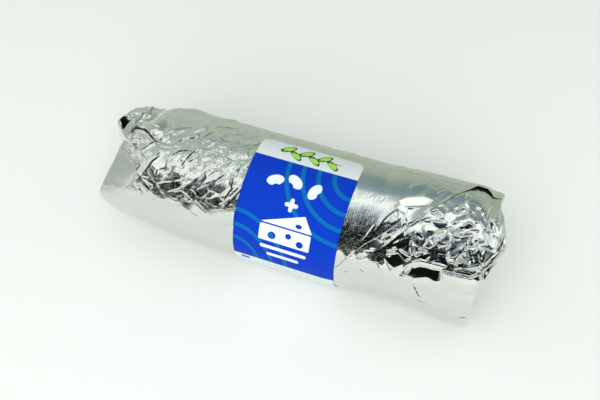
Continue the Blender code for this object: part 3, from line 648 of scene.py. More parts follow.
def press_facets(height, facets_seen, seed, soft, highest):
    """Lays flat facets into the relief, each leaning to face its own way; gives where they are"""
    draw = np.random.default_rng(seed)
    pressed = np.zeros(height.shape)
    for faces, aside, pixels in facets_seen:
        corners = on_sheet(pixels)
        middle = corners.mean(axis=0)
        window, x, y = grid_window(corners, 0.0)
        if not x.size:
            continue
        cover = smooth_step(0.0, soft * MM, -outside_polygon(x, y, corners))
        lean = np.clip(faces - np.degrees(middle[1] / RADIUS), -STEEPEST_TILT, STEEPEST_TILT)
        up = -math.tan(math.radians(lean))
        right = -math.tan(math.radians(aside + draw.uniform(-STRAY_TILT, STRAY_TILT)))
        bow = draw.uniform(-FACET_BOW, FACET_BOW)
        plane = up * (y - middle[1]) + right * (x - middle[0])
        plane = highest * MM * np.tanh(plane / (highest * MM))
        plane = plane + bow * ((x - middle[0]) ** 2 + (y - middle[1]) ** 2)
        level = (height[window] * cover).sum() / max(cover.sum(), TINY)
        height[window] += (level + plane - height[window]) * cover
        pressed[window] = np.maximum(pressed[window], cover)
    return pressed


def raise_lips(height):
    """Tilts patches of the relief about their lower border, so that they face lower; gives where they are"""
    raised = np.zeros(height.shape)
    for slope, foot, pixels in LIPS:
        corners = on_sheet(pixels)
        window, x, y = grid_window(corners, 0.0)
        cover = smooth_step(0.0, LIP_BORDER, -outside_polygon(x, y, corners))
        rise = math.tan(math.radians(slope)) * np.maximum(y - math.radians(foot) * RADIUS, 0.0)
        height[window] = height[window] * (1 - LIP_CALM * cover) + rise * cover
        raised[window] = np.maximum(raised[window], cover)
    return raised


def end_pleats():
    """Overlapping pleats that wind in to the middle of each end face"""
    turn = np.clip(np.maximum(GRID_M - RIGHT_HUB, LEFT_HUB - GRID_M) / RADIUS, 0, math.pi / 2)
    twist = np.where(GRID_M > 0, PLEAT_TWIST, PLEAT_TWIST_LEFT)
    phase = PLEATS * (np.radians(GRID_E) + twist * turn) / (2 * math.pi)
    size, waves, shift = PLEAT_SPREAD
    ramp = (phase + size * np.sin(waves * np.radians(GRID_E) + shift)) % 1.0
    saw = np.where(ramp < PLEAT_SLOPE, ramp / PLEAT_SLOPE, (1 - ramp) / (1 - PLEAT_SLOPE))
    start = np.where(GRID_M > 0, PLEAT_START, PLEAT_START_LEFT)
    on_face = smooth_step(start, start + PLEAT_FADE, turn) * (1 - smooth_step(*PLEAT_END, turn))
    return -PLEAT_HEIGHT * saw * on_face


def sample(field, meridian, elevation):
    """A field's value between the grid's lines"""
    around = (np.asarray(elevation) - ROUND[0]) % 360.0 + ROUND[0]
    row = np.clip(np.searchsorted(ALONG, meridian) - 1, 0, len(ALONG) - 2)
    column = np.clip(np.searchsorted(ROUND, around) - 1, 0, len(ROUND) - 2)
    down = np.clip((meridian - ALONG[row]) / (ALONG[row + 1] - ALONG[row]), 0, 1)
    across = np.clip((around - ROUND[column]) / (ROUND[column + 1] - ROUND[column]), 0, 1)
    near = field[row, column] * (1 - across) + field[row, column + 1] * across
    far = field[row + 1, column] * (1 - across) + field[row + 1, column + 1] * across
    return near * (1 - down) + far * down


def warped(field, push_m, push_e, amount):
    """A field pulled out of line by two others, so that straight creases bend"""
    degrees = math.degrees(amount / RADIUS)
    return sample(field, GRID_M + amount * push_m, GRID_E + degrees * push_e)


PLEATS = 11
PLEAT_HEIGHT = 1.3 * MM
PLEAT_TWIST = 1.1                  # radians that a right-hand pleat turns between rim and middle
PLEAT_TWIST_LEFT = -0.77
PLEAT_SPREAD = (0.35, 2, 1.0)      # unevenness of their spacing: size, waves round the rim, phase
PLEAT_SLOPE = 0.75                 # share of a pleat's width on its gentle side
PLEAT_START = 0.98                 # angles off the axis in radians: where they start inside each rim,
PLEAT_START_LEFT = 1.15
PLEAT_FADE = 0.2                   # over how much more they reach their height,
PLEAT_END = (1.3, 1.52)            # and where they die out at the middle

# Stretches of the skin: from and to along the roll in mm, from and to in degrees of elevation, and the
# mm and degrees over which each fades out
TAIL = (-95, -57, -80, 48, 3, 8)
LOWER_FRONT = (-60, 95, -75, 14, 6, 12)
RIGHT_PLAIN = (18, 41, 5, 118, 4, 8)
GATHERED = (43, 95, 21, 100, 4, 9)
TOP = (-60, 95, 92, 135, 6, 12)
UPPER_LEFT = (-58, -16, 50, 64, 4, 9)
# The share of the crumples that each of them loses
CALM = ((LOWER_FRONT, 0.9), (TAIL, 0.9), (RIGHT_PLAIN, 0.85), (GATHERED, 0.75), (TOP, 0.45))
LEAST_CRUMPLED = 0.04
END_FACE = (0.75, 1.0)             # radians round an end over which the end face begins
LABEL_BORDER = 2.0 * MM            # the foil lies smooth this far inside the sticker's border,
UNDER_LABEL_CALM = 0.85            # where it loses this share of its relief
END_CALM = 0.5                     # share of the crumples that the end faces lose,
UPPER_LEFT_CALM = 0.4              # and the upper left
END_UNCREASED = 0.6                # share of the fine creases that the end faces lose
UNEVENLY_CREASED = 0.5             # how much the fine creases vary
PRESSED_UNCREASED = 0.85           # share of them that a pressed facet loses
MOST_CREASED = 1.3
TAIL_UNFOLDED = 0.9                # shares of the scattered folds that the tail and the upper left lose
UPPER_LEFT_UNFOLDED = 0.5
BACK_MIDDLE = 200.0                # degrees, and how far round the back reaches from there
BACK_REACH = 100.0

# Layers of random facets: size in mm, seed, stretch, heading in degrees, height of the ridges and the share
# of edges that have one, how many mm it is bent by two other layers, its height in mm, and the share of
# that which it loses at the back
FACET_LAYERS = (
    (7.0, 11, 1.0, 0.0, 0.0, 0.0, 0.0, 0.20, 0.0),
    (2.0, 12, 2.2, 42.0, 0.0, 0.0, 1.2, 0.085, 0.3),
    (1.4, 13, 1.3, 10.0, 0.25, 0.2, 1.0, 0.05, 0.0),
    (0.8, 14, 1.6, 50.0, 0.0, 0.0, 0.7, 0.025, 0.5),
)
BENDING_SIZE = 5.0 * MM
BENDING_SEEDS = (8, 9)
CREASING_SIZE = 9.0 * MM           # another layer makes the fine creases uneven
CREASING_SEED = 71
GATHERED_LAYER = (3.2 * MM, 15, 1.3, 30.0)
GATHERED_HEIGHT = 0.16 * MM

# Scattered straight folds: how many, seed, area (mm along, degrees round), heading and its spread in
# degrees, and the least and most length, half width and rise in mm
LEFT_FOLDS = (90, 21, (-54, -12, 20, 125), 42, 16, (5, 15), (0.7, 1.4), (0.03, 0.11))
OTHER_FOLDS = (
    (90, 24, (44, 76, 20, 110), 20, 80, (2, 6), (0.4, 0.9), (0.05, 0.15)),
    (220, 25, (-70, 74, 115, 300), 45, 60, (5, 18), (0.7, 2.2), (0.10, 0.35)),
    (26, 26, (-70, 72, -60, 15), 30, 70, (5, 16), (0.8, 2.4), (0.02, 0.08)),
)

# Broad swells and hollows: height in mm, middle in mm and degrees, and reach in mm and degrees
SWELLS = (
    (2.5, -62.5, 74.0, 4.8, 24.0),
    (1.0, -47.5, 130.0, 5.0, 24.0),
    (-1.4, 69.0, 108.0, 4.0, 26.0),
)


def foil_relief():
    """Height of the foil over the plain skin, and how strongly it is creased"""
    tail = patch(*TAIL)
    gathered = patch(*GATHERED)
    upper_left = patch(*UPPER_LEFT)
    calm = np.ones(GRID_M.shape)
    for stretch, share in CALM:
        calm = calm - share * patch(*stretch)
    calm = np.clip(calm, LEAST_CRUMPLED, 1)
    end = smooth_step(*END_FACE, np.maximum(GRID_M - RIGHT_HUB, LEFT_HUB - GRID_M) / RADIUS)
    calm = calm * (1 - END_CALM * end) * (1 - UPPER_LEFT_CALM * upper_left)
    uneven = 1 + UNEVENLY_CREASED * crumple(CREASING_SIZE, CREASING_SEED)
    crinkle = calm * (1 - END_UNCREASED * end) * uneven
    back = angle_window(GRID_E, BACK_MIDDLE, BACK_REACH)
    bending = [crumple(BENDING_SIZE, seed) for seed in BENDING_SEEDS]
    height = np.zeros(GRID_M.shape)
    for size, seed, stretch, heading, ridge, ridged, bend, high, less in FACET_LAYERS:
        layer = crumple(size * MM, seed, stretch, heading, ridge, ridged)
        if bend:
            layer = warped(layer, *bending, bend * MM)
            bending.reverse()
        height += layer * high * MM * (1 - less * back)
    height *= calm
    folded = (1 - TAIL_UNFOLDED * tail) * (1 - UPPER_LEFT_UNFOLDED * upper_left)
    height += random_folds(*LEFT_FOLDS) * folded
    for folds in OTHER_FOLDS:
        height += random_folds(*folds)
    pressed = np.zeros(GRID_M.shape)
    for facets_seen, seed, soft, highest, less in PRESSED:
        pressed = np.maximum(pressed, press_facets(height, facets_seen, seed, soft, highest) * less)
    pressed = np.maximum(pressed, raise_lips(height))
    crinkle = crinkle * (1 - PRESSED_UNCREASED * pressed)
    height += gathered * crumple(*GATHERED_LAYER) * GATHERED_HEIGHT * (1 - pressed)
    add_ridge(height, RIDGE_RISE, RIDGE_WIDTH, on_sheet(RIDGE))
    for rise, _, pixels in EDGES:
        add_step(height, rise * MM, EDGE_REACH, on_sheet(pixels))
    for high, along, round_at, reach_along, reach_round in SWELLS:
        swell = angle_window(GRID_E, round_at, reach_round)
        height += high * MM * swell * np.exp(-((GRID_M / MM - along) / reach_along) ** 2)
    height += end_pleats()
    return height * (1 - UNDER_LABEL_CALM * under_label()), np.clip(crinkle, 0, MOST_CREASED)


RELIEF, CRINKLE = foil_relief()


def relief_at(meridian, elevation):
    return sample(RELIEF, meridian, elevation)


# ---------------------------------------------------------------------------------------------
# Meshes
# ---------------------------------------------------------------------------------------------
def grid_faces(rows, columns, closed):
    """Corner numbers of the quads of a grid, joined round if closed"""
    last = columns if closed else columns - 1
    row, column = np.meshgrid(np.arange(rows - 1), np.arange(last), indexing="ij")
    beside = (column + 1) % columns
    return np.stack([row * columns + column, (row + 1) * columns + column,
                     (row + 1) * columns + beside, row * columns + beside], -1).reshape(-1, 4)


def mesh_object(name, points, faces, material, extra=()):
    """A smooth mesh from a grid's points, its quads and any extra faces"""
    mesh = bpy.data.meshes.new(name)
    mesh.from_pydata(points.reshape(-1, 3).tolist(), [], [list(face) for face in faces] + list(extra))
    mesh.materials.append(material)
    mesh.shade_smooth()
    mesh.update()
    item = bpy.data.objects.new(name, mesh)
    bpy.context.scene.collection.objects.link(item)
    return item


def keep_field(item, name, field):
    """Keeps a number for each point, for the materials to read"""
    layer = item.data.attributes.new(name, "FLOAT", "POINT")
    layer.data.foreach_set("value", field.ravel())


def sheet_places(item, meridian, around):
    """Keeps each point's place on the unrolled sheet, for materials that follow the foil"""
    places = np.stack([meridian.ravel(), around.ravel(), np.zeros(meridian.size)], -1)
    layer = item.data.attributes.new("sheet_place", "FLOAT_VECTOR", "POINT")
    layer.data.foreach_set("vector", places.ravel())
    keep_field(item, "crinkle", sample(CRINKLE, meridian, np.degrees(around / RADIUS)))


def give_thickness(item, thickness, material_offset=0):
    """Turns a sheet into a shell whose second side lies behind it"""
    shell = item.modifiers.new("thickness", "SOLIDIFY")
    shell.thickness = thickness
    shell.offset = -1.0
    shell.material_offset = material_offset


def body_piece(name, first_row, last_row, material):
    """One length of the wrapped roll; an end that reaches a pole is closed"""
    rows = slice(first_row, last_row + 1)
    meridian = GRID_M[rows, :-1]
    elevation = GRID_E[rows, :-1]
    points = skin(meridian, elevation, RELIEF[rows, :-1])
    columns = meridian.shape[1]
    caps = []
    if first_row == 0:
        caps.append(list(range(columns)))
    if last_row == len(ALONG) - 1:
        caps.append([(last_row - first_row) * columns + column for column in reversed(range(columns))])
    item = mesh_object(name, points, grid_faces(meridian.shape[0], columns, True), material, caps)
    sheet_places(item, meridian, np.radians(elevation) * RADIUS)
    return item


# ---------------------------------------------------------------------------------------------
# Materials
# ---------------------------------------------------------------------------------------------
class Nodes:
    """Short way to write a node tree"""

    def __init__(self, material):
        self.tree = material.node_tree
        self.links = self.tree.links

    def add(self, kind, inputs=None, **settings):
        node = self.tree.nodes.new(kind)
        for name, value in settings.items():
            setattr(node, name, value)
        for name, value in (inputs or {}).items():
            if isinstance(value, bpy.types.NodeSocket):
                self.links.new(value, node.inputs[name])
            else:
                node.inputs[name].default_value = value
        return node

    def math(self, operation, first, second=0.0):
        return self.add("ShaderNodeMath", {0: first, 1: second}, operation=operation).outputs[0]

    def vector(self, operation, first, second):
        return self.add("ShaderNodeVectorMath", {0: first, 1: second}, operation=operation).outputs[0]

    def ramp(self, value, low, high, out_low=0.0, out_high=1.0):
        return self.add("ShaderNodeMapRange", {
            "Value": value, "From Min": low, "From Max": high, "To Min": out_low, "To Max": out_high,
        }).outputs["Result"]

    def mix(self, factor, first, second):
        node = self.add("ShaderNodeMix", data_type="RGBA")
        for index, value in ((0, factor), (6, first), (7, second)):
            if isinstance(value, bpy.types.NodeSocket):
                self.links.new(value, node.inputs[index])
            else:
                node.inputs[index].default_value = value
        return node.outputs[2]


def new_material(name):
    material = bpy.data.materials.new(name)
    material.use_nodes = True
    return material, Nodes(material), material.node_tree.nodes["Principled BSDF"]


# Small creases of the crumpled foil: size in metres, stretch, heading in degrees and slope
CRINKLES = (
    (0.0018, 2.0, 42.0, 0.20),
    (0.0009, 1.6, 20.0, 0.13),
    (0.0004, 1.3, 60.0, 0.07),
)
CRINKLE_SHIFT = 17.3               # puts each layer of creases elsewhere in its pattern
CRINKLE_BEND = (0.004, 0.004, 0.0)     # metres along and round by which they wander
ROLLING_STREAKS = (2600.0, 220.0, 1.0)     # their number per metre along and round the roll
STREAK_DEPTH = 0.03 * MM
FOIL_TINT = (0.722, 0.745, 0.708, 1.0)
FOIL_SMEAR = 0.95                  # how bright a smear is beside the clean foil
FOIL_ROUGHNESS = (0.055, 0.125)    # clean and smeared
HALF = (0.5, 0.5, 0.5)


def small_facets(nodes, place, size, stretch, heading, seed):
    """Heights of flat facets with random tilts, each of about the given size, in that size's units"""
    turn = nodes.add("ShaderNodeVectorRotate", {"Vector": place, "Angle": math.radians(-heading)},
                     rotation_type="Z_AXIS").outputs[0]
    scaled = nodes.add("ShaderNodeMapping", {
        "Vector": turn, "Scale": (1 / (size * stretch), 1 / size, 1.0), "Location": (seed, seed, 0.0)})
    cells = nodes.add("ShaderNodeTexVoronoi", {"Vector": scaled.outputs[0], "Scale": 1.0},
                      voronoi_dimensions="2D")
    tilt = nodes.vector("SUBTRACT", cells.outputs["Color"], HALF)
    away = nodes.vector("SUBTRACT", scaled.outputs[0], cells.outputs["Position"])
    return nodes.add("ShaderNodeVectorMath", {0: tilt, 1: away}, operation="DOT_PRODUCT").outputs["Value"]


def foil_material():
    """Bright rolled foil: hair-fine rolling streaks, soft smears, and small creased facets where crumpled"""
    material, nodes, shader = new_material("foil")
    shader.inputs["Metallic"].default_value = 1.0
    place = nodes.add("ShaderNodeAttribute", attribute_name="sheet_place").outputs["Vector"]
    crinkle = nodes.add("ShaderNodeAttribute", attribute_name="crinkle").outputs["Fac"]
    streak_space = nodes.add("ShaderNodeMapping", {"Vector": place, "Scale": ROLLING_STREAKS})
    streaks = nodes.add("ShaderNodeTexNoise", {
        "Vector": streak_space.outputs[0], "Scale": 1.0, "Detail": 3.0, "Roughness": 0.6}).outputs[0]
    smears = nodes.add("ShaderNodeTexNoise", {
        "Vector": place, "Scale": 90.0, "Detail": 3.0, "Roughness": 0.5}).outputs[0]
    nodes.links.new(nodes.ramp(smears, 0.35, 0.7, *FOIL_ROUGHNESS), shader.inputs["Roughness"])
    smeared = (*(part * FOIL_SMEAR for part in FOIL_TINT[:3]), 1.0)
    colour = nodes.mix(nodes.ramp(smears, 0.3, 0.75), FOIL_TINT, smeared)
    nodes.links.new(colour, shader.inputs["Base Color"])
    wander = nodes.add("ShaderNodeTexNoise", {"Vector": place, "Scale": 350.0, "Detail": 1.0})
    push = nodes.vector("SUBTRACT", wander.outputs["Color"], HALF)
    bent = nodes.vector("ADD", place, nodes.vector("MULTIPLY", push, CRINKLE_BEND))
    total = nodes.math("MULTIPLY", streaks, STREAK_DEPTH)
    for index, (size, stretch, heading, slope) in enumerate(CRINKLES):
        level = small_facets(nodes, bent, size, stretch, heading, CRINKLE_SHIFT * index)
        level = nodes.math("MULTIPLY", level, slope * size)
        total = nodes.math("ADD", total, nodes.math("MULTIPLY", level, crinkle))
    bump = nodes.add("ShaderNodeBump", {"Height": total, "Strength": 1.0, "Distance": 1.0})
    nodes.links.new(bump.outputs[0], shader.inputs["Normal"])
    return material


def painted_shade_material():
    """Painted shade: a dull, near-black colour that stands for the deep shade inside the folds"""
    material, nodes, shader = new_material("foil_painted_shade")
    place = nodes.add("ShaderNodeTexCoord").outputs["Object"]
    noise = nodes.add("ShaderNodeTexNoise", {"Vector": place, "Scale": 700.0, "Detail": 3.0})
    # near-black painted shade, mottled by noise
    colour = nodes.mix(noise.outputs[0], (0.012, 0.013, 0.012, 1), (0.03, 0.032, 0.03, 1))
    nodes.links.new(colour, shader.inputs["Base Color"])
    shader.inputs["Metallic"].default_value = 0.6
    shader.inputs["Roughness"].default_value = 0.6
    return material


# ---------------------------------------------------------------------------------------------
# The foil
# ---------------------------------------------------------------------------------------------
FOIL_CUT = 3 * MM                  # the roll's skin is made in two lengths that meet under the sticker
FOIL = foil_material()
# near-black painted shade for the dark gaps, the hood's mouth and arch, and its inner side
PAINTED_SHADE = painted_shade_material()

cut = np.searchsorted(ALONG, FOIL_CUT)
for name, first, last in (("foil_left", 0, cut), ("foil_right", cut, len(ALONG) - 1)):
    piece = body_piece(name, first, last, FOIL)
    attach(piece, "root")
    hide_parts("foil_wrap")


def smooth_line(corners, count, kernel_size):
    """Even places on a line with eased bends, the ways to its left, and how many corners each has passed"""
    corners = np.asarray(corners, float)
    run = np.concatenate([[0], np.cumsum(np.hypot(*np.diff(corners, axis=0).T))])
    steps = np.linspace(0, run[-1], count)
    line = np.stack([np.interp(steps, run, corners[:, axis]) for axis in (0, 1)], -1)
    kernel = np.hanning(kernel_size + 2)[1:-1]
    kernel /= kernel.sum()
    half = kernel_size // 2
    padded = np.pad(line, ((half, half), (0, 0)), mode="edge")
    line = np.stack([np.convolve(padded[:, axis], kernel, "valid") for axis in (0, 1)], -1)
    heading = np.gradient(line, axis=0)
    heading /= np.maximum(np.linalg.norm(heading, axis=1, keepdims=True), TINY)
    return line, np.stack([-heading[:, 1], heading[:, 0]], -1), np.interp(steps, run, np.arange(len(run)))


def ragged(draw, count, spread):
    """Random ups and downs along a line, each eased over a number of places"""
    kernel = np.hanning(spread)
    return np.convolve(draw.normal(0, 1, count + spread - 1), kernel / kernel.sum(), "valid")


SEAM_PLACES = 420                  # along the free edge, and across its strip
SEAM_ROWS = 24
SEAM_EASE = 13                     # places over which its bends are eased,
SEAM_RIPPLE = 41                   # over which its rise varies,
SEAM_NIBBLE = 9                    # and over which its border varies
SEAM_UNEVEN = 0.9                  # share of its rise that varies
SEAM_NIBBLED = 0.12 * MM
SEAM_SUNK = 0.03 * MM              # how deep the strip's foot lies in the foil
SEAM_THICKNESS = 0.05 * MM
SEAM_CROWDING = 1.5                # how far its rows crowd towards the free edge
SEAM_CURL = 1.6                    # how steeply the strip rises there
SEAM_STARTS = 0.04                 # share of its length over which it comes out of the foil


def free_edge():
    """The outermost turn's edge, a strip that rises out of the skin to a raised, rippled free edge"""
    along_edge, inward, passed = smooth_line(on_sheet(SEAM), SEAM_PLACES, SEAM_EASE)
    share = np.linspace(0, 1, SEAM_ROWS) ** SEAM_CROWDING
    draw = np.random.default_rng(31)
    ripple = ragged(draw, SEAM_PLACES, SEAM_RIPPLE)
    nibble = ragged(draw, SEAM_PLACES, SEAM_NIBBLE)
    lift = np.interp(passed, np.arange(len(SEAM_LIFTS)), SEAM_LIFTS)[:, None] * MM
    band = share[None, :] * (SEAM_BAND + SEAM_SPREAD * lift)
    band = band + SEAM_NIBBLED * nibble[:, None] * (1 - share[None, :])
    places = along_edge[:, None, :] + inward[:, None, :] * band[..., None]
    elevation = np.degrees(places[..., 1] / RADIUS)
    rise = lift * (1 + SEAM_UNEVEN * ripple[:, None]) * (1 - share[None, :]) ** SEAM_CURL - SEAM_SUNK
    starts = smooth_step(0, SEAM_STARTS, np.linspace(0, 1, SEAM_PLACES))[:, None]
    points = skin(places[..., 0], elevation, relief_at(places[..., 0], elevation) + rise * starts)
    faces = grid_faces(SEAM_PLACES, SEAM_ROWS, False)[:, ::-1]
    item = mesh_object("foil_free_edge", points, faces, FOIL)
    sheet_places(item, places[..., 0], places[..., 1])
    item.data.materials.append(PAINTED_SHADE)
    give_thickness(item, SEAM_THICKNESS)
    return item


# The hood: the end of the outermost turn, which stands off the folded left end. Its front edge is an
# arch with a gap under it, darkened with painted shade, and left of the arch the sheet falls on to the
# folded end.
HOOD_ARCH = ((130, 133), (132, 129), (136, 126), (140, 125), (146, 127), (148, 131.5), (153, 137),
             (157, 142), (164, 150))
HOOD_MOUTH = ((119, 118), (123, 115), (127, 117), (130, 120), (132, 117), (133, 119), (128, 124),
              (124, 129), (122, 129), (121, 123))
HOOD_FOLDS = (                     # rise and half width in mm, and pixels
    (0.9, 1.0, ((140, 114), (144, 117), (150, 116.5), (156, 114))),
    (0.5, 1.0, ((146, 112), (151, 109.5), (157, 109.5))),
    (0.5, 0.9, ((124, 117), (130, 114.5), (137, 114))),
    (0.6, 1.0, ((133, 119), (139, 121), (145, 120))),
)
# Its left rim from front to back: share of its width, and mm along X
HOOD_RIM = ((0.0, -66.2), (0.06, -67.2), (0.20, -70.6), (0.32, -70.2), (0.6, -67.8), (0.8, -65.0),
            (1.0, -62.5))
HOOD_CRUMPLES = ((4.0, 51, 0.9), (1.6, 52, 0.35))     # size in mm, seed and height in mm
HOOD_SMOOTH = (78.0, 95.0)         # degrees over which they fade towards its front
HOOD_ROWS = 180                    # round the roll, and along it
HOOD_COLUMNS = 130
HOOD_FOOT = 0.3                    # share of its width that hangs below the front edge
HOOD_PAST_RIM = 0.4                # share of its length that is turned down
HOOD_CROWDING = 1.2                # how far its rows crowd towards the front
HOOD_ROOT = -45.0                  # mm along X
HOOD_CLEAR = (-56.0, -60.5)        # between these places it passes from the foil's form to its own
HOOD_SUNK = 0.25 * MM              # how deep its root lies in the foil,
FOOT_SUNK = 0.35 * MM              # and its foot
HOOD_THICKNESS = 0.15 * MM
HOOD_SHARP = math.radians(50)      # a crease that turns more than this shows as sharp
HOOD_LEAVES = (-53.0, -64.0)       # between these places along X it rises clear of the roll
HOOD_BACK = 166.0                  # degrees
HOOD_FRONT_AT_RIM = 73.5
HOOD_TIP_RADIUS = 20.5 * MM
HOOD_TURN_DOWN = 12.0 * MM
HOOD_TURN_SLOPE = 1.5 * MM
HOOD_BULGE = 1.4                   # mm by which the turned-down edge bulges to the left,
HOOD_BULGE_ROUND = 0.7             # and how far round the bulge goes, in half turns
HOOD_CURTAIN = 16.0                # degrees from the front edge down to the sheet's foot, left of the arch
ARCH_GAP = 1.5 * MM                # clearance under the arch
ARCH_GAP_FROM = (-48.0, -55.0)     # mm along X over which it opens
ARCH_GAP_ABOVE = (76.0, 96.0)      # degrees over which it closes again towards the top,
ARCH_GAP_CLOSES = 0.75             # by this share
ARCH_LEFT = -63.9                  # mm along X
ARCH_RIGHT = -49.0
ARCH_SIDE = 0.6                    # mm over which the foot's curtain ends at the arch
ARCH_OPEN = 0.88                   # share of the curtain that the arch leaves out
MOUTH_DEPTH = 5.0 * MM
MOUTH_SLOPE = 1.3                  # mm over which the mouth reaches its depth
MOUTH_SHADE = 0.15                 # mm inside its border where the painted shade begins


def hood_radius(x, elevation):
    """Distance from the axis to the plain hood"""
    rooted = barrel_radius(x, elevation)
    return rooted + (HOOD_TIP_RADIUS - rooted) * smooth_step(*HOOD_LEAVES, x / MM)


def on_hood(pixels):
    """The plain hood behind pixels of the photograph: place along X in mm, and elevation"""
    def clearance(points):
        return np.hypot(points[:, 1], points[:, 2]) - hood_radius(points[:, 0], elevation_of(points))

    points = first_met(pixels, clearance)
    return np.stack([points[:, 0] / MM, elevation_of(points)], -1)


def hood():
    """A crumpled sheet from its root on the roll: front edge, open top and turned-down left edge, with
    painted shade in its mouth, under its arch and on its inner side
    """
    share, along = np.meshgrid(np.linspace(-HOOD_FOOT, 1, HOOD_ROWS),
                               np.linspace(0, 1 + HOOD_PAST_RIM, HOOD_COLUMNS), indexing="ij")
    upper = np.maximum(share, 0)
    below = np.clip(-share / HOOD_FOOT, 0, 1)
    rim = np.interp(upper, *zip(*HOOD_RIM))
    down = np.clip((along - 1.0) / HOOD_PAST_RIM, 0, 1)
    x = HOOD_ROOT + (rim - HOOD_ROOT) * np.minimum(along, 1.0)
    arch = on_hood(HOOD_ARCH)
    arch = arch[np.argsort(arch[:, 0])]
    front = np.interp(x, arch[:, 0], arch[:, 1], left=HOOD_FRONT_AT_RIM)
    elevation = front + (HOOD_BACK - front) * upper ** HOOD_CROWDING
    meridian = meridian_of(x * MM)
    height = sum(sample(crumple(size * MM, seed), meridian, elevation) * high
                 for size, seed, high in HOOD_CRUMPLES)
    height = height * smooth_step(*HOOD_SMOOTH, elevation) * smooth_step(*HOOD_LEAVES, x)
    to_mm = math.radians(HOOD_TIP_RADIUS / MM)
    for rise, width, pixels in HOOD_FOLDS:
        distance, _ = line_distance(x, elevation * to_mm, on_hood(pixels) * (1, to_mm))
        height = height + rise * np.clip(1 - distance / width, 0, 1)
    sunk = -outside_polygon(x, elevation * to_mm, on_hood(HOOD_MOUTH) * (1, to_mm))
    radius = hood_radius(x * MM, elevation) + height * MM
    radius = radius - MOUTH_DEPTH * smooth_step(0.0, MOUTH_SLOPE, sunk) * (along <= 1.0)
    radius = radius - HOOD_TURN_DOWN * (1 - np.cos(down * math.pi / 2)) - HOOD_TURN_SLOPE * down
    moved = x - HOOD_BULGE * np.sin(down * HOOD_BULGE_ROUND * math.pi)
    angle = np.radians(elevation)
    points = np.stack([moved * MM, -radius * np.cos(angle), radius * np.sin(angle)], -1) + AXIS
    closing = 1 - ARCH_GAP_CLOSES * smooth_step(*ARCH_GAP_ABOVE, elevation)
    gap = ARCH_GAP * smooth_step(*ARCH_GAP_FROM, x) * closing
    on_skin = skin(meridian, elevation, relief_at(meridian, elevation) - HOOD_SUNK + gap)
    points = on_skin + (points - on_skin) * smooth_step(*HOOD_CLEAR, x)[..., None]
    open_arch = smooth_step(ARCH_LEFT - ARCH_SIDE, ARCH_LEFT, x)
    foot_elevation = elevation - HOOD_CURTAIN * below * (1 - ARCH_OPEN * open_arch)
    foot = skin(meridian, foot_elevation, relief_at(meridian, foot_elevation) - FOOT_SUNK)
    points = points + (foot - points) * smooth_step(0.0, 1.0, below)[..., None]
    faces = grid_faces(*x.shape, False)
    item = mesh_object("foil_hood", points, faces, FOIL)
    sheet_places(item, meridian, np.radians(foot_elevation) * RADIUS)
    item.data.set_sharp_from_angle(angle=HOOD_SHARP)
    item.data.materials.append(PAINTED_SHADE)
    # Faces deep in the mouth and under the arch take the near-black painted shade material
    mouth_painted_shade = (sunk > MOUTH_SHADE) & (along <= 1.0)
    arch_painted_shade = (share < 0) & (open_arch > 0.5) & (x < ARCH_RIGHT)
    corners_painted_shade = (mouth_painted_shade | arch_painted_shade).ravel()[faces].sum(axis=1)
    item.data.polygons.foreach_set("material_index", (corners_painted_shade >= 3).astype(np.int32))
    # The shell's inner side takes the painted shade material as well
    give_thickness(item, HOOD_THICKNESS, material_offset=1)
    return item


cap = hood()
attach(cap, "root")
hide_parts("foil_wrap")

SHADE_GAP_PLACES = 60                    # along each painted shade strip
SHADE_GAP_EASE = 9                       # places over which its bends are eased and its width varies
SHADE_GAP_UNEVEN = 0.9                   # share of its width that varies, within the limits below
SHADE_GAP_LIMITS = (0.25, 2.0)
SHADE_GAP_TAPER = 0.6                    # how bluntly its ends narrow; less is blunter
SHADE_GAP_ASIDE = 0.25                   # share of its half width by which it lies off the fold
SHADE_GAP_LIFT = 0.05 * MM


def painted_shade_gaps():
    """Painted shade in the gaps beside folded edges: narrow ragged strips in a near-black colour"""
    draw = np.random.default_rng(61)
    points = []
    faces = []
    lines = [(width, pixels) for _, width, pixels in EDGES]
    lines += [(width, SEAM[first:last]) for width, first, last in SEAM_SHADE_GAPS]
    taper = np.sin(np.linspace(0, math.pi, SHADE_GAP_PLACES)) ** SHADE_GAP_TAPER
    for index, (width, pixels) in enumerate(lines):
        line, aside, _ = smooth_line(on_sheet(pixels), SHADE_GAP_PLACES, SHADE_GAP_EASE)
        uneven = np.clip(1 + SHADE_GAP_UNEVEN * ragged(draw, SHADE_GAP_PLACES, SHADE_GAP_EASE), *SHADE_GAP_LIMITS)
        half = (width * MM * uneven * taper)[:, None]
        line = line - aside * SHADE_GAP_ASIDE * half
        rows = np.stack([line - aside * half, line, line + aside * half], 1)
        elevation = np.degrees(rows[..., 1] / RADIUS)
        placed = skin(rows[..., 0], elevation, relief_at(rows[..., 0], elevation) + SHADE_GAP_LIFT)
        points.append(placed.reshape(-1, 3))
        faces.append(grid_faces(SHADE_GAP_PLACES, 3, False) + index * SHADE_GAP_PLACES * 3)
    return mesh_object("foil_painted_shade_gaps", np.concatenate(points), np.concatenate(faces), PAINTED_SHADE)


shade_gap_strips = painted_shade_gaps()
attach(shade_gap_strips, "root")

edge = free_edge()
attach(edge, "root")

# ---------------------------------------------------------------------------------------------
# The sticker
# ---------------------------------------------------------------------------------------------
PAPER_LIFT = 0.16 * MM
PAPER_THICKNESS = 0.1 * MM
PAPER_ROWS = 200                   # round the roll, and along it
PAPER_COLUMNS = 96
PRINT_EDGE = 0.06 * MM             # half width of the soft border of each printed shape
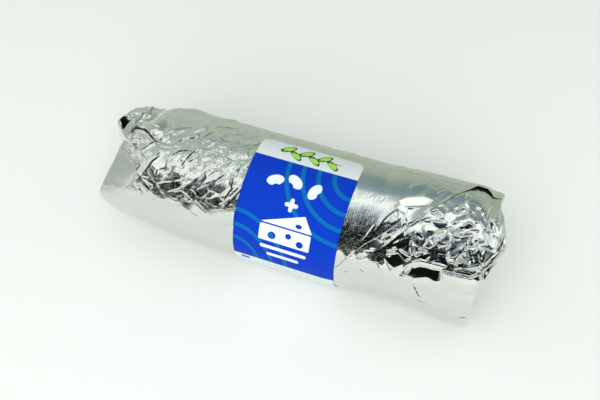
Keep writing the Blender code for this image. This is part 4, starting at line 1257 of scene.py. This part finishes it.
# Each colour in a darker and a lighter speckle
BLUE = ((0.001, 0.027, 0.36, 1), (0.002, 0.043, 0.47, 1))
PALE_BLUE = ((0.001, 0.10, 0.32, 1), (0.002, 0.135, 0.40, 1))
PAPER_WHITE = ((0.56, 0.60, 0.62, 1), (0.63, 0.68, 0.70, 1))
INK_WHITE = ((0.60, 0.65, 0.68, 1), (0.69, 0.74, 0.77, 1))
GREEN = ((0.25, 0.58, 0.05, 1), (0.36, 0.70, 0.09, 1))
DARK = ((0.015, 0.02, 0.02, 1), (0.04, 0.05, 0.045, 1))

# The made-up print, in mm: across from the sticker's middle, and up round the roll from the front
FAR = 99.0
ARC_HALF_WIDTH = 0.75
LOW_ARCS = (9.0, 14.5, 20.0)       # radii about the field's lower left corner, and its upper right
HIGH_ARCS = (8.0, 13.5, 19.0, 24.5)
BEANS = ((-8.2, 29.0, 3.1, 20), (-1.2, 30.2, 3.1, -35), (6.4, 28.6, 3.1, 65))     # place, size and tilt
BEAN_WIDTH = 0.62                  # its half width and its bite, as shares of its size
BITE_AWAY = 0.78
BITE_LENGTH = 0.42
BITE_WIDTH = 0.34
WHITE_BARS = ((4.4, 8.6, 0.75), (0.9, 6.0, 0.75), (22.0, 2.4, 0.7), (22.0, 0.7, 2.4))     # up, half sizes
BAR_CORNER = 0.6
WEDGE_FOOT = 7.0                   # where the wedge of cheese stands
WEDGE_TOP = 7.0                    # from its foot up to where its slanting top begins
WEDGE_HALF = 9.6
WEDGE_FRONT = (0.0, 3.2, 9.4, 3.2, 0.5)     # middle, half sizes and corner
WEDGE_LEFT = (0.94, 0.34)          # how steeply each side of the top slants, as shares up and across
WEDGE_RIGHT = (0.55, 0.83)
CHEESE_HOLES = ((-4.6, 2.6, 1.5, 1.5), (1.4, 4.0, 1.1, 1.1), (5.8, 2.0, 1.3, 1.3), (4.4, 8.6, 1.2, 0.8))
LEAF_COUNT = 6                     # leaves to the two sides of a stem, in turn
LEAF_FIRST = -8.5
LEAF_STEP = 3.4
LEAF_ASIDE = 1.1
LEAF_HALF = (2.7, 1.15)
LEAF_TILT = 38
LEAF_OUTLINE = 0.16
STEM_HALF = (11.5, 0.18)
DASH_COUNT = 10                    # a row of dashes below the field
DASH_FIRST = -8.0
DASH_STEP = 2.5
DASH_BELOW = 2.2
DASH_HALF = (0.9, 0.42)
SMALL_CORNER = 0.3                 # of the dashes and the block
BLOCK_ASIDE = 4.2                  # a block of the field's colour under its lower left corner
BLOCK_BELOW = 2.0
BLOCK_HALF = (1.6, 0.8)


def up_sticker(elevation):
    """Mm up the sticker at an elevation"""
    return math.radians(elevation) * RADIUS / MM


def paper_material():
    material, nodes, shader = new_material("label_paper")
    place = nodes.add("ShaderNodeAttribute", attribute_name="sheet_place").outputs["Vector"]
    grain = nodes.add("ShaderNodeTexNoise", {"Vector": place, "Scale": 2600.0, "Detail": 2.0})
    cloud = nodes.add("ShaderNodeTexNoise", {"Vector": place, "Scale": 160.0, "Detail": 3.0})

    def shape(name):
        distance = nodes.add("ShaderNodeAttribute", attribute_name=name).outputs["Fac"]
        return nodes.ramp(distance, PRINT_EDGE, -PRINT_EDGE)

    speckle = nodes.ramp(grain.outputs[0], 0.36, 0.64)
    field = nodes.mix(shape("arcs"), nodes.mix(speckle, *BLUE), nodes.mix(speckle, *PALE_BLUE))
    field = nodes.mix(shape("white_print"), field, nodes.mix(speckle, *INK_WHITE))
    colour = nodes.mix(shape("field"), nodes.mix(speckle, *PAPER_WHITE), field)
    colour = nodes.mix(shape("green_print"), colour, nodes.mix(grain.outputs[0], *GREEN))
    colour = nodes.mix(shape("dark_print"), colour, nodes.mix(grain.outputs[0], *DARK))
    nodes.links.new(colour, shader.inputs["Base Color"])
    nodes.links.new(nodes.ramp(cloud.outputs[0], 0.3, 0.7, 0.50, 0.60), shader.inputs["Roughness"])
    shader.inputs["Specular IOR Level"].default_value = 0.08
    bump = nodes.add("ShaderNodeBump", {
        "Height": grain.outputs[0], "Strength": 0.25, "Distance": 0.04 * MM})
    nodes.links.new(bump.outputs[0], shader.inputs["Normal"])
    return material


def box_distance(x, y, middle_x, middle_y, half_x, half_y, corner):
    """Distance outside a rounded rectangle, negative inside it"""
    out_x = np.abs(x - middle_x) - (half_x - corner)
    out_y = np.abs(y - middle_y) - (half_y - corner)
    inside = np.minimum(np.maximum(out_x, out_y), 0)
    return np.hypot(np.maximum(out_x, 0), np.maximum(out_y, 0)) + inside - corner


def ellipse_distance(x, y, middle_x, middle_y, half_x, half_y, tilt=0.0):
    """About the distance outside a tilted ellipse"""
    turn = math.radians(tilt)
    along = (x - middle_x) * math.cos(turn) + (y - middle_y) * math.sin(turn)
    aside = -(x - middle_x) * math.sin(turn) + (y - middle_y) * math.cos(turn)
    share = np.hypot(along / half_x, aside / half_y)
    return (share - 1) * min(half_x, half_y)


def arc_bands(x, y):
    """Lighter bands: nested arcs about two opposite corners of the field"""
    distance = np.full(x.shape, FAR)
    for edge, elevation, radii in ((LABEL_LEFT, FIELD_LOW, LOW_ARCS), (LABEL_RIGHT, FIELD_HIGH, HIGH_ARCS)):
        away = np.hypot(x - edge / MM, y - up_sticker(elevation))
        for radius in radii:
            distance = np.minimum(distance, np.abs(away - radius) - ARC_HALF_WIDTH)
    return distance


def bean_distance(x, y, middle_x, middle_y, size, tilt):
    """A bean: an ellipse with a bite out of one side"""
    turn = math.radians(tilt)
    body = ellipse_distance(x, y, middle_x, middle_y, size, size * BEAN_WIDTH, tilt)
    bite_x = middle_x + math.sin(turn) * size * BITE_AWAY
    bite_y = middle_y - math.cos(turn) * size * BITE_AWAY
    bite = ellipse_distance(x, y, bite_x, bite_y, size * BITE_LENGTH, size * BITE_WIDTH, tilt)
    return np.maximum(body, -bite)


def cheese_distance(x, y):
    """A wedge of cheese standing at y = 0: a slanting top over a front with round holes"""
    front = box_distance(x, y, *WEDGE_FRONT)
    up = y - WEDGE_TOP
    left_side = up * WEDGE_LEFT[0] - (x + WEDGE_HALF) * WEDGE_LEFT[1]
    right_side = up * WEDGE_RIGHT[0] + (x - WEDGE_HALF) * WEDGE_RIGHT[1]
    top = np.maximum.reduce([-up, left_side, right_side])
    holes = np.minimum.reduce([ellipse_distance(x, y, *hole) for hole in CHEESE_HOLES])
    return np.maximum(np.minimum(front, top), -holes)


def print_shapes(x, y):
    """Signed distances of every printed shape; x and y are mm across and up the sticker"""
    low = up_sticker(FIELD_LOW)
    high = up_sticker(FIELD_HIGH)
    middle = (LABEL_LEFT + LABEL_RIGHT) / 2 / MM
    block = box_distance(x, y, LABEL_LEFT / MM + BLOCK_ASIDE, low - BLOCK_BELOW, *BLOCK_HALF, SMALL_CORNER)
    white = cheese_distance(x - middle, y - WEDGE_FOOT)
    for aside, up, size, tilt in BEANS:
        white = np.minimum(white, bean_distance(x, y, middle + aside, up, size, tilt))
    for up, half_x, half_y in WHITE_BARS:
        white = np.minimum(white, box_distance(x, y, middle, up, half_x, half_y, BAR_CORNER))
    stem_y = (high + up_sticker(LABEL_HIGH)) / 2
    green = np.full(x.shape, FAR)
    for index in range(LEAF_COUNT):
        side = (-1) ** index
        leaf_x = middle + LEAF_FIRST + LEAF_STEP * index
        leaf_y = stem_y + LEAF_ASIDE * side
        green = np.minimum(green, ellipse_distance(x, y, leaf_x, leaf_y, *LEAF_HALF, LEAF_TILT * side))
    for index in range(DASH_COUNT):
        dash_x = middle + DASH_FIRST + DASH_STEP * index
        green = np.minimum(green, box_distance(x, y, dash_x, low - DASH_BELOW, *DASH_HALF, SMALL_CORNER))
    stem = np.maximum(np.abs(y - stem_y) - STEM_HALF[1], np.abs(x - middle) - STEM_HALF[0])
    outline = np.where(y > high, np.abs(green) - LEAF_OUTLINE, FAR)
    return {
        "field": np.minimum(np.maximum(low - y, y - high), block),
        "arcs": arc_bands(x, y),
        "white_print": white,
        "green_print": green,
        "dark_print": np.minimum(stem, outline),
    }


def sticker():
    """The paper sheet with its rounded corners, laid on the foil's relief"""
    low = RADIUS * math.radians(LABEL_LOW)
    high = RADIUS * math.radians(LABEL_HIGH)
    around, across = np.meshgrid(np.linspace(low, high, PAPER_ROWS),
                                 np.linspace(-1, 1, PAPER_COLUMNS), indexing="ij")
    to_end = np.clip(np.minimum(around - low, high - around), 0, LABEL_CORNER)
    inset = LABEL_CORNER - np.sqrt(LABEL_CORNER ** 2 - (LABEL_CORNER - to_end) ** 2)
    meridian = (LABEL_LEFT + LABEL_RIGHT) / 2 + across * ((LABEL_RIGHT - LABEL_LEFT) / 2 - inset)
    elevation = np.degrees(around / RADIUS)
    points = skin(meridian, elevation, relief_at(meridian, elevation) + PAPER_LIFT)
    item = mesh_object("paper_label", points, grid_faces(*around.shape, False), paper_material())
    sheet_places(item, meridian, around)
    for name, distance in print_shapes(meridian / MM, around / MM).items():
        keep_field(item, name, distance * MM)
    give_thickness(item, PAPER_THICKNESS)
    return item


label = sticker()
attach(label, "root")
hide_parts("label")

# ---------------------------------------------------------------------------------------------
# Floor, light and camera
# ---------------------------------------------------------------------------------------------
def plain_floor():
    bpy.ops.mesh.primitive_plane_add(size=6.0, location=(0, 0, 0))
    floor = bpy.context.object
    floor.name = "plain_floor"
    material, _, shader = new_material("pale_floor")
    shader.inputs["Base Color"].default_value = (0.80, 0.81, 0.79, 1)
    shader.inputs["Roughness"].default_value = 0.9
    shader.inputs["Specular IOR Level"].default_value = 0.1
    floor.data.materials.append(material)


# Brightness of the studio by angle over the roll, from the front horizon over the top to the back,
# as the left end mirrors it and as the rest does
STUDIO_LEFT = (
    (0, (0.48, 0.51, 0.46)), (8, (0.34, 0.37, 0.33)), (16, (0.13, 0.14, 0.12)), (23, (0.045, 0.052, 0.046)),
    (33, (0.040, 0.050, 0.046)), (43, (0.10, 0.14, 0.14)), (49.5, (0.36, 0.44, 0.48)),
    (55, (0.94, 1.00, 1.02)), (60, (1.22, 1.24, 1.22)), (86, (1.22, 1.22, 1.16)),
    (93, (0.98, 1.02, 0.98)), (100, (0.56, 0.64, 0.64)), (112, (0.44, 0.52, 0.50)),
    (127, (0.45, 0.52, 0.46)), (142, (0.47, 0.54, 0.46)), (160, (0.50, 0.56, 0.47)),
    (180, (0.52, 0.58, 0.50)),
)
STUDIO_RIGHT = (
    (0, (0.06, 0.065, 0.06)), (5, (0.006, 0.007, 0.006)), (36, (0.005, 0.006, 0.006)),
    (46, (0.022, 0.034, 0.045)), (56, (0.10, 0.15, 0.20)), (64, (0.40, 0.50, 0.58)),
    (71, (1.00, 1.07, 1.12)), (78, (1.38, 1.38, 1.34)), (89, (1.20, 1.22, 1.20)),
    (95, (0.48, 0.57, 0.62)), (103, (0.26, 0.35, 0.40)), (113, (0.22, 0.31, 0.35)),
    (121, (0.20, 0.28, 0.29)), (128, (0.26, 0.33, 0.30)), (137, (0.38, 0.45, 0.38)),
    (158, (0.45, 0.52, 0.42)), (180, (0.50, 0.57, 0.47)),
)
STUDIO_LEFT_AT = -0.36             # direction along X at which each of the two holds
STUDIO_RIGHT_AT = -0.17
STUDIO_TILT = 90.0                 # degrees by which the bands turn per unit of direction along X
STUDIO_TILT_FROM = -0.21
STUDIO_TILT_HOLDS = (-0.25, -0.15)     # from the first of these to the second it rises to the right's lean
STUDIO_RIGHT_LEAN = 20.9           # degrees that this adds
STUDIO_TILT_RISES = (0.1, 0.9)     # radians over the front horizon where the lean sets in and is full
STUDIO_TO_LEFT = (-0.62, -0.9)     # directions along X over which the bands give way to each side's grey
STUDIO_TO_RIGHT = (0.28, 0.58)
STUDIO_TO_UPPER = (0.05, 0.35)     # directions along Z over which the left's grey brightens upwards,
STUDIO_UPPER_FADES = (0.0, -0.6)   # and along X
STUDIO_LEFT_SIDE = (0.46, 0.50, 0.46)
STUDIO_RIGHT_SIDE = (0.62, 0.67, 0.60)
STUDIO_UPPER_LEFT = (0.95, 0.97, 0.93)
# Low upright panels round the roll that only mirrored rays meet: two corners on the floor in mm, height
# in mm, and glow
CARDS = (
    ("left_card", (-125.0, 60.0), (-125.0, -9.0), 60.0, (0.48, 0.53, 0.51)),
    ("back_card", (130.0, 75.0), (-110.0, 75.0), 45.0, (0.50, 0.57, 0.47)),
)
STUDIO_GAIN = 1.08
BACKDROP = (0.861, 0.861, 0.852)
FILL_PLACE = (0.15, -1.0, 0.75)
FILL_SIZE = 1.3
FILL_WATTS = 19.5


def studio_ramp(nodes, share, bands):
    """The bands' colours by share of a half turn from the front horizon"""
    ramp = nodes.add("ShaderNodeValToRGB", {"Fac": share})
    stops = ramp.color_ramp.elements
    while len(stops) > 1:
        stops.remove(stops[-1])
    for index, (degrees, colour) in enumerate(bands):
        stop = stops[0] if index == 0 else stops.new(degrees / 180.0)
        stop.position = degrees / 180.0
        stop.color = (*colour, 1.0)
    return ramp.outputs["Color"]


def studio():
    """A soft strip overhead between dimmer stretches, leaning along the roll, with grey sides"""
    world = bpy.data.worlds.new("studio")
    bpy.context.scene.world = world
    world.use_nodes = True
    nodes = Nodes(world)
    background = world.node_tree.nodes["Background"]
    direction = nodes.add("ShaderNodeTexCoord").outputs["Generated"]
    split = nodes.add("ShaderNodeSeparateXYZ", {"Vector": direction})
    front = nodes.math("MULTIPLY", split.outputs["Y"], -1.0)
    angle = nodes.math("ARCTAN2", split.outputs["Z"], front)
    lean = nodes.math("MINIMUM", split.outputs["X"], STUDIO_TILT_HOLDS[0])
    lean = nodes.math("MULTIPLY", nodes.math("SUBTRACT", lean, STUDIO_TILT_FROM), math.radians(STUDIO_TILT))
    held = nodes.ramp(split.outputs["X"], *STUDIO_TILT_HOLDS, 0.0, math.radians(STUDIO_RIGHT_LEAN))
    lean = nodes.math("ADD", lean, held)
    lean = nodes.math("MULTIPLY", lean, nodes.ramp(angle, *STUDIO_TILT_RISES))
    share = nodes.math("DIVIDE", nodes.math("SUBTRACT", angle, lean), math.pi)
    to_right = nodes.ramp(split.outputs["X"], STUDIO_LEFT_AT, STUDIO_RIGHT_AT)
    bands = nodes.mix(to_right, *(studio_ramp(nodes, share, side) for side in (STUDIO_LEFT, STUDIO_RIGHT)))
    to_left = nodes.ramp(split.outputs["X"], *STUDIO_TO_LEFT)
    upper = nodes.ramp(split.outputs["Z"], *STUDIO_TO_UPPER)
    upper_left = nodes.math("MULTIPLY", upper, nodes.ramp(split.outputs["X"], *STUDIO_UPPER_FADES))
    left_side = nodes.mix(upper_left, (*STUDIO_LEFT_SIDE, 1.0), (*STUDIO_UPPER_LEFT, 1.0))
    around = nodes.mix(to_left, bands, left_side)
    to_right_side = nodes.ramp(split.outputs["X"], *STUDIO_TO_RIGHT)
    around = nodes.mix(to_right_side, around, (*STUDIO_RIGHT_SIDE, 1.0))
    is_camera = nodes.add("ShaderNodeLightPath").outputs["Is Camera Ray"]
    final = nodes.mix(is_camera, around, (*BACKDROP, 1.0))
    nodes.links.new(final, background.inputs["Color"])
    background.inputs["Strength"].default_value = STUDIO_GAIN


def camera():
    """The photograph's camera"""
    place, back, _, _ = camera_frame()
    data = bpy.data.cameras.new("camera")
    data.lens = CAMERA_LENS
    data.sensor_width = SENSOR_WIDTH
    item = bpy.data.objects.new("camera", data)
    bpy.context.scene.collection.objects.link(item)
    item.location = Vector(place + AXIS)
    item.rotation_euler = Vector(back).to_track_quat("Z", "Y").to_euler()
    bpy.context.scene.camera = item


def fill_light():
    """Soft light from the front that the foil doesn't mirror"""
    data = bpy.data.lights.new("fill", "AREA")
    data.size = FILL_SIZE
    data.energy = FILL_WATTS
    item = bpy.data.objects.new("fill", data)
    bpy.context.scene.collection.objects.link(item)
    item.location = FILL_PLACE
    item.rotation_euler = Vector(FILL_PLACE).to_track_quat("Z", "Y").to_euler()
    item.visible_glossy = False


def card(name, start, end, height, glow):
    """An upright panel whose glow only mirrored rays meet"""
    corners = np.array([(*start, 0.0), (*end, 0.0), (*end, height), (*start, height)]) * MM
    material, _, shader = new_material(name)
    shader.inputs["Base Color"].default_value = (0.0, 0.0, 0.0, 1.0)
    shader.inputs["Emission Color"].default_value = (*glow, 1.0)
    shader.inputs["Emission Strength"].default_value = 1.0
    item = mesh_object(name, corners, [(0, 1, 2, 3)], material)
    for ray in ("camera", "diffuse", "transmission", "volume_scatter", "shadow"):
        setattr(item, "visible_" + ray, False)


plain_floor()
studio()
fill_light()
for each_card in CARDS:
    card(*each_card)
camera()
bpy.context.scene.view_settings.view_transform = "Standard"
